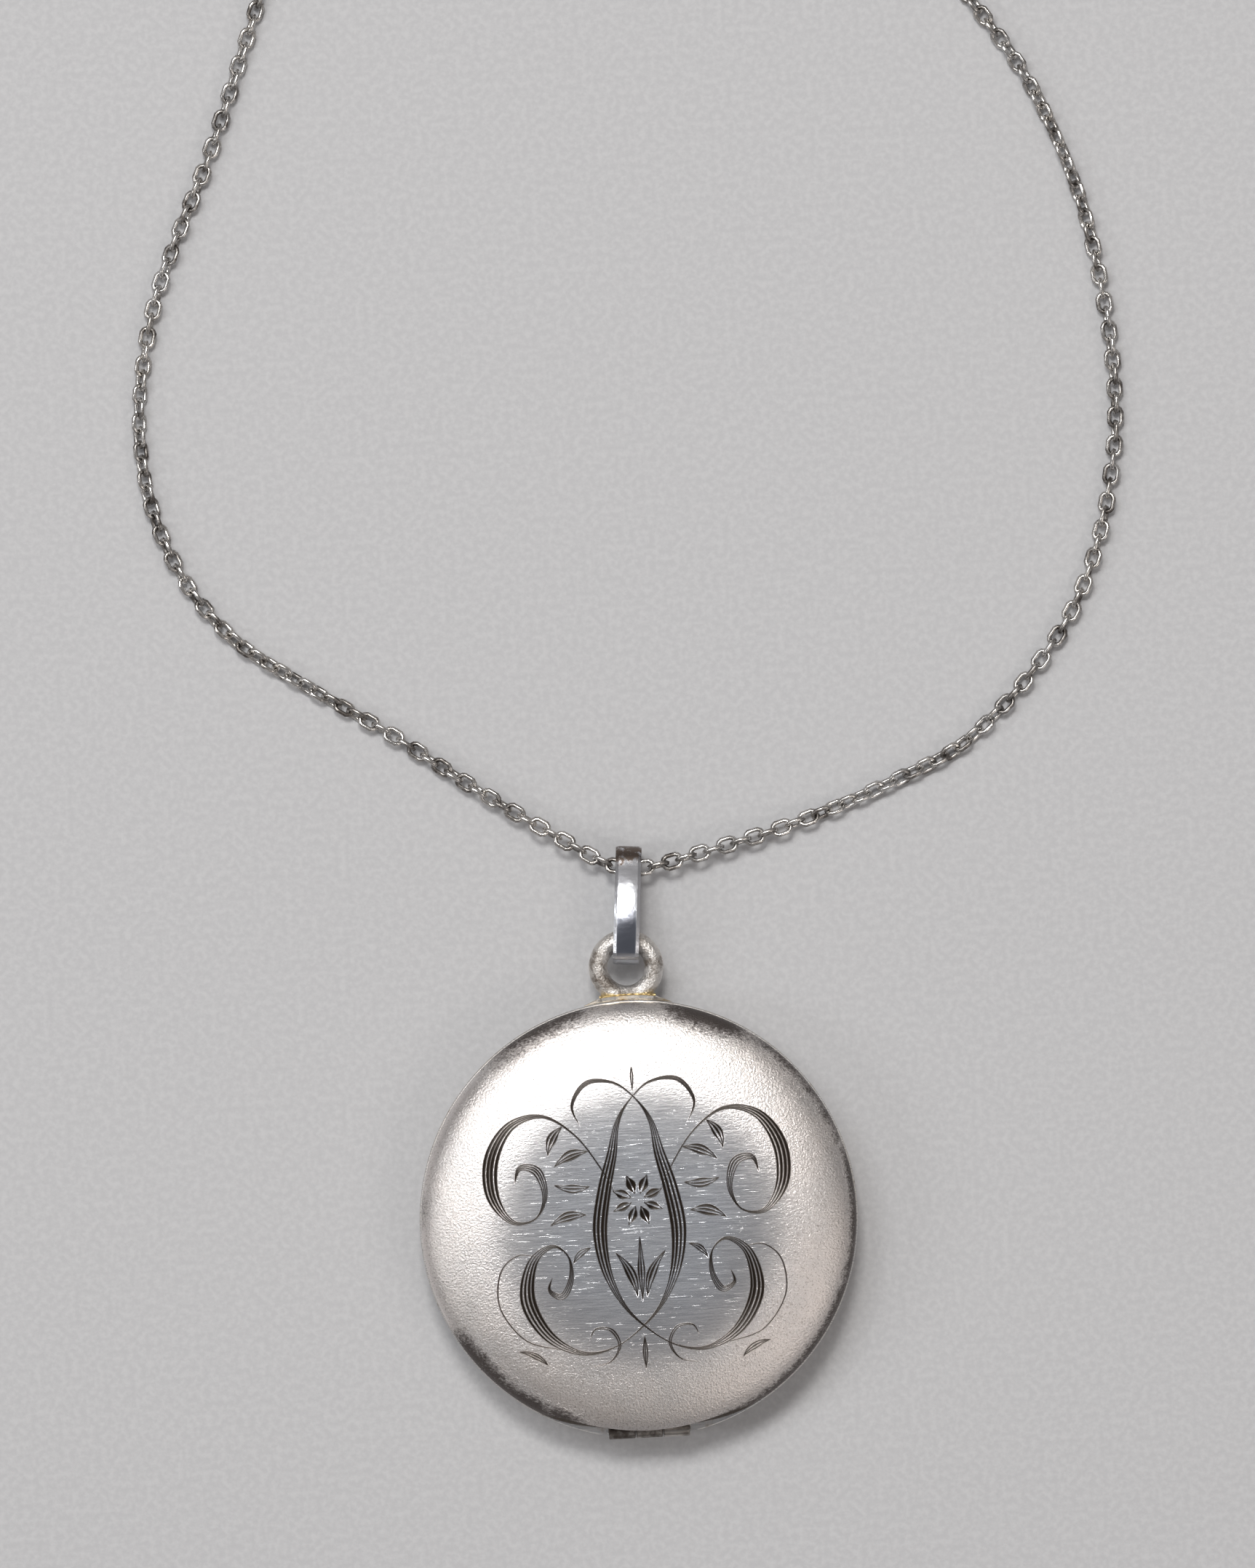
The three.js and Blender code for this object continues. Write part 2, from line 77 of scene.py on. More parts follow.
class Finish:
    """A finish built node by node round one Principled shader, on Object coordinates."""

    def __init__(self, name, metallic=0.0, **plain):
        self.material = bpy.data.materials.new(name)
        self.material.use_nodes = True
        self.nodes = self.material.node_tree.nodes
        self.shader = self.nodes["Principled BSDF"]
        self.shader.inputs["Metallic"].default_value = metallic
        for socket, value in plain.items():
            self.shader.inputs[socket.replace("_", " ")].default_value = value
        self.place = self.nodes.new("ShaderNodeTexCoord").outputs["Object"]

    def link(self, source, socket):
        self.material.node_tree.links.new(source, socket)

    def new(self, kind, inputs, **settings):
        node = self.nodes.new(kind)
        for name, value in settings.items():
            setattr(node, name, value)
        for socket, value in inputs.items():
            if isinstance(value, bpy.types.NodeSocket):
                self.link(value, node.inputs[socket])
            else:
                node.inputs[socket].default_value = value
        return node

    def grain(self, size, detail=3.0, stretch=(1, 1, 1), turn=0.0, roughness=0.55):
        """Noise whose spots are about size metres across, drawn out along an axis by stretch."""
        placed = self.new("ShaderNodeMapping", {
            "Vector": self.place, "Rotation": (0, 0, turn),
            "Scale": tuple(1 / (size * s) for s in stretch),
        })
        return self.new("ShaderNodeTexNoise", {
            "Vector": placed.outputs[0], "Scale": 1.0, "Detail": detail, "Roughness": roughness,
        }).outputs["Fac"]

    def between(self, value, low, high, start=0.0, end=1.0):
        return self.new("ShaderNodeMapRange", {
            "Value": value, "From Min": low, "From Max": high, "To Min": start, "To Max": end,
        }, interpolation_type="SMOOTHSTEP").outputs[0]

    def maths(self, operation, first, second):
        return self.new("ShaderNodeMath", {0: first, 1: second}, operation=operation).outputs[0]

    def times(self, first, second):
        return self.maths("MULTIPLY", first, second)

    def plus(self, first, second):
        return self.maths("ADD", first, second)

    def mix(self, factor, first, second):
        """The first colour where the factor is 0, and the second where it is 1."""
        node = self.nodes.new("ShaderNodeMix")
        node.data_type = "RGBA"
        for socket, value in ((0, factor), (6, first), (7, second)):
            if isinstance(value, bpy.types.NodeSocket):
                self.link(value, node.inputs[socket])
            else:
                node.inputs[socket].default_value = (*value, 1)
        return node.outputs[2]

    def raise_by(self, height, distance):
        """Adds a bump on top of those already there."""
        node = self.new("ShaderNodeBump", {
            "Height": height, "Distance": distance, "Strength": 1.0,
        })
        earlier = self.shader.inputs["Normal"].links
        if earlier:
            self.link(earlier[0].from_socket, node.inputs["Normal"])
        self.link(node.outputs[0], self.shader.inputs["Normal"])

    def set(self, **sockets):
        for name, value in sockets.items():
            self.link(value, self.shader.inputs[name.replace("_", " ")])


def paper():
    finish = Finish("matt paper", Roughness=0.9)
    fibre = finish.grain(0.0004, detail=5)
    finish.set(Base_Color=finish.mix(finish.between(fibre, 0.35, 0.7), PAPER_SPECK, PAPER))
    finish.raise_by(fibre, 0.00003)
    return finish.material


def mesh_of(name, form):
    """The form as a mesh, after which the form itself is let go."""
    mesh = bpy.data.meshes.new(name)
    form.to_mesh(mesh)
    form.free()
    return mesh


def shown(name, mesh, *finishes):
    piece = bpy.data.objects.new(name, mesh)
    bpy.context.collection.objects.link(piece)
    for finish in finishes:
        mesh.materials.append(finish)
    return piece


def table():
    sheet = bmesh.new()
    bmesh.ops.create_grid(sheet, x_segments=1, y_segments=1, size=TABLE / 2)
    return shown("table", mesh_of("table", sheet), paper())


def softbox(name, bearing, elevation, distance, size, watts, colour):
    lamp = bpy.data.lights.new(name, "AREA")
    lamp.shape = "RECTANGLE"
    lamp.size, lamp.size_y = size
    lamp.energy = watts
    lamp.color = colour
    box = bpy.data.objects.new(name, lamp)
    bpy.context.collection.objects.link(box)
    bearing, elevation = math.radians(bearing), math.radians(elevation)
    towards = Vector((math.cos(bearing) * math.cos(elevation),
                      math.sin(bearing) * math.cos(elevation), math.sin(elevation)))
    box.location = towards * distance
    box.rotation_euler = towards.to_track_quat("Z", "Y").to_euler()
    box.visible_camera = False


table()
softbox("key softbox", 95, 65, 0.8, (0.16, 0.16), 2.4, (1.0, 0.985, 0.96))
softbox("sheen softbox", 135, 61, 0.8, (0.36, 0.22), 1.3, (0.97, 0.985, 1.0))
softbox("left strip", 183, 38, 0.8, (0.07, 0.3), 0.55, (0.98, 0.99, 1.0))
softbox("warm fill", -38, 50, 0.9, (0.4, 0.4), 0.8, (1.0, 0.93, 0.88))


def studio():
    """Soft light all round, dimmer overhead, so that a level face looks darker."""
    world = bpy.data.worlds.new("studio")
    world.use_nodes = True
    nodes = world.node_tree.nodes
    links = world.node_tree.links
    heading = nodes.new("ShaderNodeTexCoord").outputs["Generated"]
    parts = nodes.new("ShaderNodeSeparateXYZ")
    links.new(heading, parts.inputs[0])
    ramp = nodes.new("ShaderNodeValToRGB")
    links.new(parts.outputs["Z"], ramp.inputs[0])
    tones = ramp.color_ramp.elements
    tones[0].color = STUDIO_TONES[0][1]
    tones[1].color = STUDIO_TONES[-1][1]
    for height, colour in STUDIO_TONES[1:-1]:
        tones.new(height).color = colour
    links.new(ramp.outputs[0], nodes["Background"].inputs["Color"])
    return world


bpy.context.scene.world = studio()
bpy.context.scene.view_settings.view_transform = "Standard"

lens = bpy.data.cameras.new("camera")
lens.sensor_width = SENSOR
lens.lens = SENSOR * CAMERA_DISTANCE / VIEW_HEIGHT
lens.clip_end = 10
camera = bpy.data.objects.new("camera", lens)
camera.location = (*VIEW_MIDDLE, CAMERA_DISTANCE)
camera.rotation_euler = (0, 0, VIEW_TURN)
bpy.context.collection.objects.link(camera)
bpy.context.scene.camera = camera

# ---------------------------------------------------------------- trace chain
# A fine chain of separate oval links of round silver wire, each soldered shut and a quarter turn
# round from the next. It lies slack, rises over the bail's lower band, and the length behind the
# neck is wound into a flat coil of two layers, from which the last stretch runs to the clasp.
LINK_LENGTH = 0.00154
LINK_WIDTH = 0.00116
LINK_WIRE = 0.00031
LINK_PITCH = LINK_LENGTH - 2 * LINK_WIRE
CHAIN_HEIGHT = 0.00058


def resting(x, y, height=CHAIN_HEIGHT):
    """A point of the chain, which lies on the table where no height is given."""
    return x, y, height


CHAIN_RUN = [resting(*place) for place in [
    (-0.0186, 0.0864), (-0.0195, 0.0826), (-0.0204, 0.0792), (-0.0218, 0.0754), (-0.0232, 0.0716),
    (-0.0247, 0.0679), (-0.0264, 0.0642), (-0.0279, 0.0605), (-0.0289, 0.0566), (-0.0294, 0.0527),
    (-0.0292, 0.0486), (-0.0282, 0.0448), (-0.0264, 0.0412), (-0.0238, 0.0381), (-0.0206, 0.0358),
    (-0.0172, 0.0336), (-0.0138, 0.0314, 0.00062), (-0.0106, 0.0291, 0.00078),
    (-0.0073, 0.0268, 0.00104), (-0.0039, 0.0246, 0.00134), (-0.0010, 0.0228, 0.00153),
    (0.0005, 0.02245, 0.00156), (0.0023, 0.0225, 0.00153), (0.0065, 0.0235, 0.0013),
    (0.0104, 0.0245, 0.00098), (0.0143, 0.0258, 0.00074), (0.0181, 0.0273, 0.00062),
    (0.0218, 0.0290), (0.0250, 0.0316), (0.0277, 0.0346), (0.0300, 0.0380), (0.0316, 0.0418),
    (0.0326, 0.0458), (0.0331, 0.0498), (0.0330, 0.0549), (0.0322, 0.0610), (0.0309, 0.0660),
    (0.0285, 0.0718), (0.0253, 0.0768), (0.0226, 0.0805, 0.0007), (0.0202, 0.0836, 0.0011),
]]
CHAIN_TAIL = [resting(*place) for place in [
    (-0.0047, 0.0986, 0.00105), (-0.0010, 0.0981, 0.0007), (0.0030, 0.0970), (0.0072, 0.0952),
    (0.0110, 0.0929, 0.0007), (0.01403, 0.09062, 0.0010),
]]
COIL_MIDDLE = (-0.0102, 0.0908)
COIL_OUTER_TURN = 0.008
COIL_INNER_TURN = 0.00498
COIL_LAYERS = (CHAIN_HEIGHT, 0.00173)
COIL_LAYER_TURNS = 2.625
COIL_POINTS = 42
# How the links lean over along the chain, in degrees: slow waves of (lean, links, start).
CHAIN_LEANS = ((24, 9.0, 0.0), (16, 3.7, 1.3))
LINK_ROLL = 18
LINK_SLACK = 7
CHAIN_SILVER = (0.66, 0.645, 0.63)
CHAIN_TARNISH = (0.12, 0.105, 0.095)


def polar(radius, angle):
    """How far along X and Y a point lies at that radius and bearing."""
    return radius * math.cos(angle), radius * math.sin(angle)


def coil_points():
    """Clockwise inwards on the lower layer, then outwards on the upper one."""
    points = []
    for layer, height in enumerate(COIL_LAYERS):
        for i in range(COIL_POINTS):
            done = (i + 0.5) / COIL_POINTS
            inward = done if layer == 0 else 1 - done
            radius = COIL_OUTER_TURN + (COIL_INNER_TURN - COIL_OUTER_TURN) * inward
            angle = math.pi - 2 * math.pi * COIL_LAYER_TURNS * (layer + done)
            out = polar(radius, angle)
            points.append((COIL_MIDDLE[0] + out[0], COIL_MIDDLE[1] + out[1], height))
    return points


def smooth_line(points, steps):
    """A Catmull-Rom line through the points, each a position with any numbers that go with it."""
    padded = [points[0], *points, points[-1]]
    line = []
    for a, b, c, d in zip(padded, padded[1:], padded[2:], padded[3:]):
        for i in range(steps):
            t = i / steps
            line.append(tuple(
                q + 0.5 * t * (r - p + t * (2 * p - 5 * q + 4 * r - s + t * (3 * (q - r) + s - p)))
                for p, q, r, s in zip(a, b, c, d)
            ))
    return [*line, tuple(points[-1])]


def evenly(points, pitch):
    """Points a pitch apart along the line, as near as divides it into whole steps."""
    reach = [0.0]
    for a, b in zip(points, points[1:]):
        reach.append(reach[-1] + (Vector(b[:3]) - Vector(a[:3])).length)
    count = round(reach[-1] / pitch)
    even = []
    k = 0
    for i in range(count + 1):
        along = reach[-1] * i / count
        while k < len(points) - 2 and reach[k + 1] < along:
            k += 1
        share = (along - reach[k]) / max(reach[k + 1] - reach[k], 1e-12)
        even.append(tuple(p + (q - p) * share for p, q in zip(points[k], points[k + 1])))
    return even


def silver(name, colour, roughness, tarnish, tarnished=0.35, pits=0.000006, pit_size=0.00012,
           scratches=0.000002):
    """Worn silver: soft tarnish in patches, a fine stipple and hairline scratches."""
    finish = Finish(name, metallic=1.0)
    patch = finish.grain(0.0013, detail=6, roughness=0.65)
    dull = finish.between(patch, 0.62 - 0.3 * tarnished, 0.86 - 0.3 * tarnished)
    tone = finish.between(finish.grain(0.004), 0.3, 0.7)
    warmer = tuple(c * f for c, f in zip(colour, (1.0, 0.975, 0.94)))
    finish.set(Base_Color=finish.mix(dull, finish.mix(tone, colour, warmer), tarnish))
    stipple = finish.grain(pit_size, detail=2)
    lines = finish.grain(0.00003, detail=1, stretch=(40, 1, 6), turn=0.14)
    worn = finish.times(finish.between(lines, 0.3, 0.7), 0.08)
    matt = finish.times(dull, 0.22)
    finish.set(Roughness=finish.plus(finish.plus(worn, matt), roughness - 0.04))
    finish.raise_by(stipple, pits)
    finish.raise_by(lines, scratches)
    return finish.material


def spin_round(form, geom, steps):
    """Sweeps the outline in a full turn round Z."""
    bmesh.ops.spin(form, geom=geom, cent=(0, 0, 0), axis=(0, 0, 1), dvec=(0, 0, 0),
                   angle=2 * math.pi, steps=steps, use_merge=True, use_duplicate=False)


def wire_circle(wire, middle, corners, turn=0.0):
    """The outline of a ring of round wire that lies round Z."""
    ring = bmesh.new()
    bmesh.ops.create_circle(ring, segments=corners, radius=wire, matrix=(
        Matrix.Rotation(turn, 4, "Z")
        @ Matrix.Translation((middle, 0, 0)) @ Matrix.Rotation(math.pi / 2, 4, "X")))
    return ring


def one_link():
    """An oval ring of wire, long along X and open along Z."""
    bend = (LINK_WIDTH - LINK_WIRE) / 2
    straight = (LINK_LENGTH - LINK_WIDTH) / 2
    link = wire_circle(LINK_WIRE / 2, bend, 5, math.radians(15))
    spin_round(link, link.edges[:], 12)
    bmesh.ops.recalc_face_normals(link, faces=link.faces[:])
    for corner in link.verts:
        corner.co.x += math.copysign(straight, corner.co.x)
    return mesh_of("link", link)


def linked_chain(stations):
    pattern = one_link()
    slack = random.Random(7)
    chain = bmesh.new()
    for i, (here, there) in enumerate(zip(stations, stations[1:])):
        along = Vector(there) - Vector(here)
        lean = sum(most * math.sin(i / links + start) for most, links, start in CHAIN_LEANS)
        lean += slack.uniform(-LINK_SLACK, LINK_SLACK)
        roll = math.radians(LINK_ROLL + lean + 90 * (i % 2))
        first = len(chain.verts)
        chain.from_mesh(pattern)
        chain.verts.ensure_lookup_table()
        place = Matrix.Translation((Vector(here) + Vector(there)) / 2)
        turn = along.to_track_quat("X", "Z").to_matrix().to_4x4() @ Matrix.Rotation(roll, 4, "X")
        bmesh.ops.transform(chain, matrix=place @ turn, verts=chain.verts[first:])
    mesh = mesh_of("trace_chain", chain)
    bpy.data.meshes.remove(pattern)
    mesh.shade_smooth()
    return mesh


chain_line = smooth_line([*reversed(CHAIN_RUN), *coil_points(), *CHAIN_TAIL], 8)
stations = evenly(chain_line, LINK_PITCH)
trace_chain = shown("trace_chain", linked_chain(stations), silver(
    "oxidised chain silver", CHAIN_SILVER, 0.2, CHAIN_TARNISH, tarnished=0.62))
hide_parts("chain_run", "chain_coil", "chain_tail")
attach(trace_chain, "chain")

# ---------------------------------------------------------------- back cover
# The lower half of the case, spun from sheet silver over a former: a flat middle, a rounded belly
# and an upright rim. A gutter and a flat at the bottom of the rim take the hinge's barrel.
WALL = 0.00045
GAP = 0.00004
BACK_FLAT = 0.0095
BACK_BELLY = 0.0023
CASE_STEPS = 168
EDGE_STEPS = 22
RIM_EASE = 0.00005
CREASE = math.radians(32)
HINGE_LENGTH = 0.0052
HINGE_RADIUS = 0.00036
RIM_FLAT = (0.0066, 0.001, 0.0032)
CASE_SILVER = (0.83, 0.81, 0.79)
CASE_TARNISH = (0.30, 0.25, 0.21)
back_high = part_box("back_cover")[1]
CASE_RADIUS = back_high.x
SEAM = back_high.z
HINGE = Vector(joints["cover_hinge"]["pos_m"])


def turned(profile, steps, closed=True):
    """A ring or dish turned about the vertical axis from points (radius, height)."""
    form = bmesh.new()
    corners = [form.verts.new((radius, 0, height)) for radius, height in profile]
    for a, b in zip(corners, corners[1:]):
        form.edges.new((a, b))
    if closed:
        form.edges.new((corners[-1], corners[0]))
    spin_round(form, form.verts[:] + form.edges[:], steps)
    bmesh.ops.remove_doubles(form, verts=form.verts[:], dist=1e-7)
    bmesh.ops.recalc_face_normals(form, faces=form.faces[:])
    return form


def to_piece(name, form, *finishes):
    mesh = mesh_of(name, form)
    mesh.shade_smooth()
    mesh.set_sharp_from_angle(angle=CREASE)
    return shown(name, mesh, *finishes)


def cut(piece, *tools):
    """Takes the tools' shapes out of the piece, one after the other, and clears them away."""
    for tool in tools:
        knife = piece.modifiers.new(tool.name, "BOOLEAN")
        knife.operation = "DIFFERENCE"
        knife.solver = "MANIFOLD"
        knife.object = tool
    ready = piece.evaluated_get(bpy.context.evaluated_depsgraph_get())
    mesh = bpy.data.meshes.new_from_object(ready)
    mesh.name = piece.name
    piece.modifiers.clear()
    piece.data = mesh
    for tool in tools:
        bpy.data.objects.remove(tool)
    mesh.shade_smooth()
    mesh.set_sharp_from_angle(angle=CREASE)


def hinge_room():
    barrel = bmesh.new()
    bmesh.ops.create_cone(barrel, cap_ends=True, segments=48, radius1=HINGE_RADIUS + GAP,
                          radius2=HINGE_RADIUS + GAP, depth=HINGE_LENGTH + 2 * GAP)
    bmesh.ops.rotate(barrel, matrix=Matrix.Rotation(math.pi / 2, 3, "Y"), verts=barrel.verts[:])
    bmesh.ops.translate(barrel, vec=HINGE, verts=barrel.verts[:])
    flat = bmesh.new()
    bmesh.ops.create_cube(flat, size=1.0)
    bmesh.ops.scale(flat, vec=RIM_FLAT, verts=flat.verts[:])
    bmesh.ops.translate(flat, vec=HINGE - Vector((0, RIM_FLAT[1] / 2, 0)), verts=flat.verts[:])
    return to_piece("gutter tool", barrel), to_piece("flat tool", flat)


def belly(reach, drop):
    """A quarter of an ellipse from the flat to the upright wall."""
    angles = [i / EDGE_STEPS * math.pi / 2 for i in range(EDGE_STEPS + 1)]
    return [(BACK_FLAT + reach * math.sin(a), BACK_BELLY - drop * math.cos(a)) for a in angles]


def back_cover():
    reach = CASE_RADIUS - BACK_FLAT
    outside = belly(reach, BACK_BELLY)
    inside = belly(reach - WALL - GAP, BACK_BELLY - WALL)
    rim_inside = inside[-1][0]
    profile = [
        (0, 0), (BACK_FLAT * 0.6, 0), *outside,
        (CASE_RADIUS, SEAM - RIM_EASE), (CASE_RADIUS - RIM_EASE, SEAM), (rim_inside, SEAM),
        *reversed(inside), (BACK_FLAT * 0.6, WALL), (0, WALL),
    ]
    return turned(profile, CASE_STEPS, closed=False)


case_silver = silver("satin case silver", CASE_SILVER, 0.3, CASE_TARNISH, tarnished=0.24)
back = to_piece("case_back", back_cover(), case_silver)
cut(back, *hinge_room())
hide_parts("back_cover")
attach(back, "case")

# ---------------------------------------------------------------- front cover
# The upper half of the case, raised from the same sheet silver into a shallow cushion. Its face is
# engraved by hand with mirrored scrolls, leaves and a flower. Each swelling stroke is a few cuts
# side by side that run together into a hairline, and the cuts are dark inside with patina; their
# walls that face towards the top are given a lighter colour, a painted highlight.
front_low, front_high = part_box("front_cover")
FRONT_RADIUS = front_high.x
FRONT_SEAM = front_low.z
FRONT_SPRING = 0.0039
FACE_STEPS = 40
NICK_BEARING = math.radians(62)
NICK_RADIUS = 0.0016
EVEN_RADIUS = 0.0125
HAIRLINE = 0.00012
CUT_STEP = 0.00014
CUT_SHARE = 0.46                     # half a cut's width, as a share of the cuts' spacing
# Each stroke is (cuts side by side, [(x, y, width), ...]) in millimetres, for the right half.
SCROLLS = {
    "stem and bowl": (4, [
        (-3.4, 6.1, 0.06), (-3.9, 7.5, 0.25), (-2.9, 8.9, 0.4), (-1.1, 8.8, 0.2), (0.3, 7.6, 0.14),
        (1.1, 6.2, 0.45), (1.5, 4.3, 0.85), (2.1, 2.0, 1.1), (2.5, -0.6, 1.15), (2.2, -3.1, 0.85),
        (1.3, -5.2, 0.4), (0.0, -6.7, 0.18), (-1.9, -8.0, 0.14), (-4.0, -8.3, 0.4),
        (-6.1, -7.1, 0.9), (-7.3, -4.8, 1.15), (-6.9, -2.4, 0.8), (-5.6, -1.4, 0.35),
        (-4.6, -2.1, 0.16), (-4.5, -3.5, 0.45), (-5.1, -4.6, 0.6), (-5.9, -4.2, 0.3),
        (-5.7, -3.4, 0.06)]),
    "upper bowl": (4, [
        (1.3, 1.5, 0.06), (2.3, 3.5, 0.14), (3.8, 5.6, 0.16), (5.8, 6.9, 0.3), (7.9, 6.4, 0.75),
        (9.2, 4.4, 1.1), (9.25, 2.0, 1.0), (8.1, 0.3, 0.45), (6.6, 0.4, 0.16),
        (5.9, 1.8, 0.45), (6.3, 3.4, 0.75), (7.4, 3.7, 0.45), (7.8, 2.7, 0.06)]),
    "tendril": (1, [
        (5.4, -8.0, 0.1), (7.6, -7.3, 0.14), (9.1, -5.2, 0.16), (9.0, -3.0, 0.14),
        (7.9, -1.9, 0.12), (6.6, -2.0, 0.1)]),
    "foot curl": (2, [
        (3.3, -9.2, 0.06), (2.2, -8.9, 0.14), (1.6, -7.9, 0.35), (2.1, -6.9, 0.4), (3.1, -6.8, 0.2),
        (3.5, -7.5, 0.06)]),
}
DROPS = {
    "spindle": (3, [(0, -1.0, 0.06), (0, -2.2, 0.45), (0, -3.4, 0.65), (0, -5.2, 0.06)]),
    "top drop": (2, [(0, 9.8, 0.06), (0, 9.2, 0.4), (0, 8.2, 0.06)]),
    "foot drop": (3, [(0, -7.4, 0.06), (0, -8.4, 0.55), (0, -9.5, 0.06)]),
}
# A leaf is (x, y, bearing, length, width, bend), and the flower's petals are leaves all round.
# LEAF_SWELL gives how wide a leaf is at each share of its length.
LEAF_SWELL = ((0, 0.08), (0.25, 0.75), (0.5, 1.0), (0.75, 0.65), (1, 0.08))
LEAVES = [
    (3.0, 4.55, -22, 2.4, 0.85, 0.5), (4.6, 6.2, -62, 2.1, 0.8, 0.5), (3.0, 2.3, 5, 2.3, 0.8, -0.4),
    (3.3, 0.5, -14, 2.4, 0.9, 0.5), (3.1, -1.6, -40, 1.6, 0.6, 0.4),
    (0.3, -4.9, 66, 3.2, 0.8, 0.6), (6.2, -9.0, 28, 2.1, 0.6, 0.4),
]
FLOWER = (0, 1.3)
PETALS = 8
PETAL_FROM = 0.42
PETAL_LENGTH = 1.3
PETAL_WIDTH = 0.8
# The cool middle and warm edge of the face are a painted reflection tint.
RUBBED_COOL_REFLECTION_SILVER = (0.74, 0.755, 0.79)
SATIN_WARM_REFLECTION_SILVER = (0.84, 0.785, 0.755)
CLOUDED_SILVER = (0.66, 0.65, 0.65)
GROOVE_DARK = (0.10, 0.082, 0.068)
# GROOVE_DARK is the patina in the cuts; the colour below is a painted highlight for the cut walls
# that face the light.
GROOVE_PAINTED_LIGHT = (0.36, 0.34, 0.315)
# The rim's dark brown is partly tarnish and partly painted shade.
RIM_BROWN_AND_SHADE = (0.085, 0.07, 0.064)
PIT_BROWN = (0.36, 0.31, 0.28)
# Painted highlight: cut walls that face this way are given the lighter colour.
PAINTED_LIGHT_WALL = Vector((-0.3, 0.95, 0))      # the way that a cut's less darkened wall faces
RIM_DIP = 0.00047
RIM_DIP_HALF = math.radians(31)
RIM_DIP_FLATNESS = 1.35
STAIN_EASE = math.radians(9)
# Where the rim is darkened, partly brown tarnish and partly painted shade for the dark that the rim
# reflects: from one bearing to another, how far in, and how strongly.
RIM_STAINS_AND_SHADE = [
    (56, 81, 0.0124, 1.0), (14, 58, 0.0132, 0.7), (98, 132, 0.0127, 0.8),
    (168, 180, 0.0131, 0.5), (-152, -106, 0.0127, 0.95), (-84, 20, 0.0136, 0.85),
]


def face_height(radius, outside=FRONT_RADIUS, top=front_high.z):
    fall = min(radius / outside, 1.0) ** 4
    return FRONT_SPRING + (top - FRONT_SPRING) * math.sqrt(1 - fall)


def face_edge(outside, top):
    angles = [(1 - i / FACE_STEPS) * math.pi / 2 for i in range(FACE_STEPS)]
    radii = [outside * math.sqrt(math.sin(a)) for a in angles]
    return [(r, face_height(r, outside, top)) for r in radii] + [(0, top)]


def front_cover():
    inside_radius = FRONT_RADIUS - WALL
    inside = face_edge(inside_radius, front_high.z - WALL)
    profile = [
        *reversed(inside), (inside_radius, FRONT_SEAM), (FRONT_RADIUS, FRONT_SEAM),
        *face_edge(FRONT_RADIUS, front_high.z),
    ]
    form = turned(profile, CASE_STEPS, closed=False)
    # The outside is filed in over the hinge, so that the back cover's rim shows past it.
    for corner in form.verts:
        radius = corner.co.xy.length
        off = abs(math.atan2(corner.co.x, -corner.co.y)) / RIM_DIP_HALF
        height = corner.co.z
        if radius > inside_radius + GAP and off < 1:
            near = min(1.0, (radius - inside_radius) / (FRONT_RADIUS - inside_radius))
            wave = RIM_DIP_FLATNESS * (0.5 + 0.5 * math.cos(math.pi * off))
            dip = RIM_DIP * min(1.0, wave) * near
            factor = 1 - dip / radius
            corner.co = (corner.co.x * factor, corner.co.y * factor, height)
    return form


def section_curve(name, points):
    """A closed outline that is swept along a path: across it, and up."""
    outline = bpy.data.curves.new(name, "CURVE")
    outline.dimensions = "2D"
    spline = outline.splines.new("POLY")
    spline.points.add(len(points) - 1)
    for corner, (across, up) in zip(spline.points, points):
        corner.co = (across, up, 0, 1)
    spline.use_cyclic_u = True
    return bpy.data.objects.new(name, outline)


def swept(name, path, section, sizes=None, closed=False, upright=True):
    """The section drawn along the path, at each point scaled by its size."""
    rail = bpy.data.curves.new(name, "CURVE")
    rail.dimensions = "3D"
    rail.twist_mode = "Z_UP" if upright else "MINIMUM"
    spline = rail.splines.new("POLY")
    spline.points.add(len(path) - 1)
    for corner, place, size in zip(spline.points, path, sizes or [1.0] * len(path)):
        corner.co = (*place[:3], 1)
        corner.radius = size
    spline.use_cyclic_u = closed
    rail.bevel_mode = "OBJECT"
    rail.bevel_object = section
    rail.use_fill_caps = not closed
    drawn = bpy.data.objects.new(name, rail)
    bpy.context.collection.objects.link(drawn)
    ready = drawn.evaluated_get(bpy.context.evaluated_depsgraph_get())
    form = bmesh.new()
    form.from_mesh(ready.to_mesh())
    ready.to_mesh_clear()
    bpy.data.objects.remove(drawn)
    bmesh.ops.remove_doubles(form, verts=form.verts[:], dist=1e-8)
    bmesh.ops.recalc_face_normals(form, faces=form.faces[:])
    return form


# The graver's point, in half widths of its cut: a wedge whose top stands clear of the face.
GRAVER = section_curve("graver", [(-1.6, 0.62), (1.6, 0.62), (0, -1.05)])


def graver_cuts(name, cuts, points, side):
    """The tools of one stroke, each cut a little to the side of the stroke's middle."""
    line = evenly([(side * x * 1e-3, y * 1e-3, w * 1e-3) for x, y, w in smooth_line(points, 10)],
                  CUT_STEP)
    tools = []
    hand = random.Random(f"{name} {side}")
    for cut_number in range(cuts):
        aside = cut_number - (cuts - 1) / 2 + hand.uniform(-0.1, 0.1)
        weight = CUT_SHARE * hand.uniform(0.8, 1.1)
        path = []
        sizes = []
        for i, (x, y, width) in enumerate(line):
            before = line[max(i - 1, 0)]
            after = line[min(i + 1, len(line) - 1)]
            heading = Vector((after[0] - before[0], after[1] - before[1])).normalized()
            share = max(width - HAIRLINE, 0) / cuts
            place = Vector((x, y)) + Vector((-heading.y, heading.x)) * aside * share
            path.append((place.x, place.y, face_height(place.length)))
            sizes.append(max(min(HAIRLINE, width) / 2, share * weight))
        tools.append(to_piece(f"{name} {cut_number}", swept(name, path, GRAVER, sizes)))
    return tools


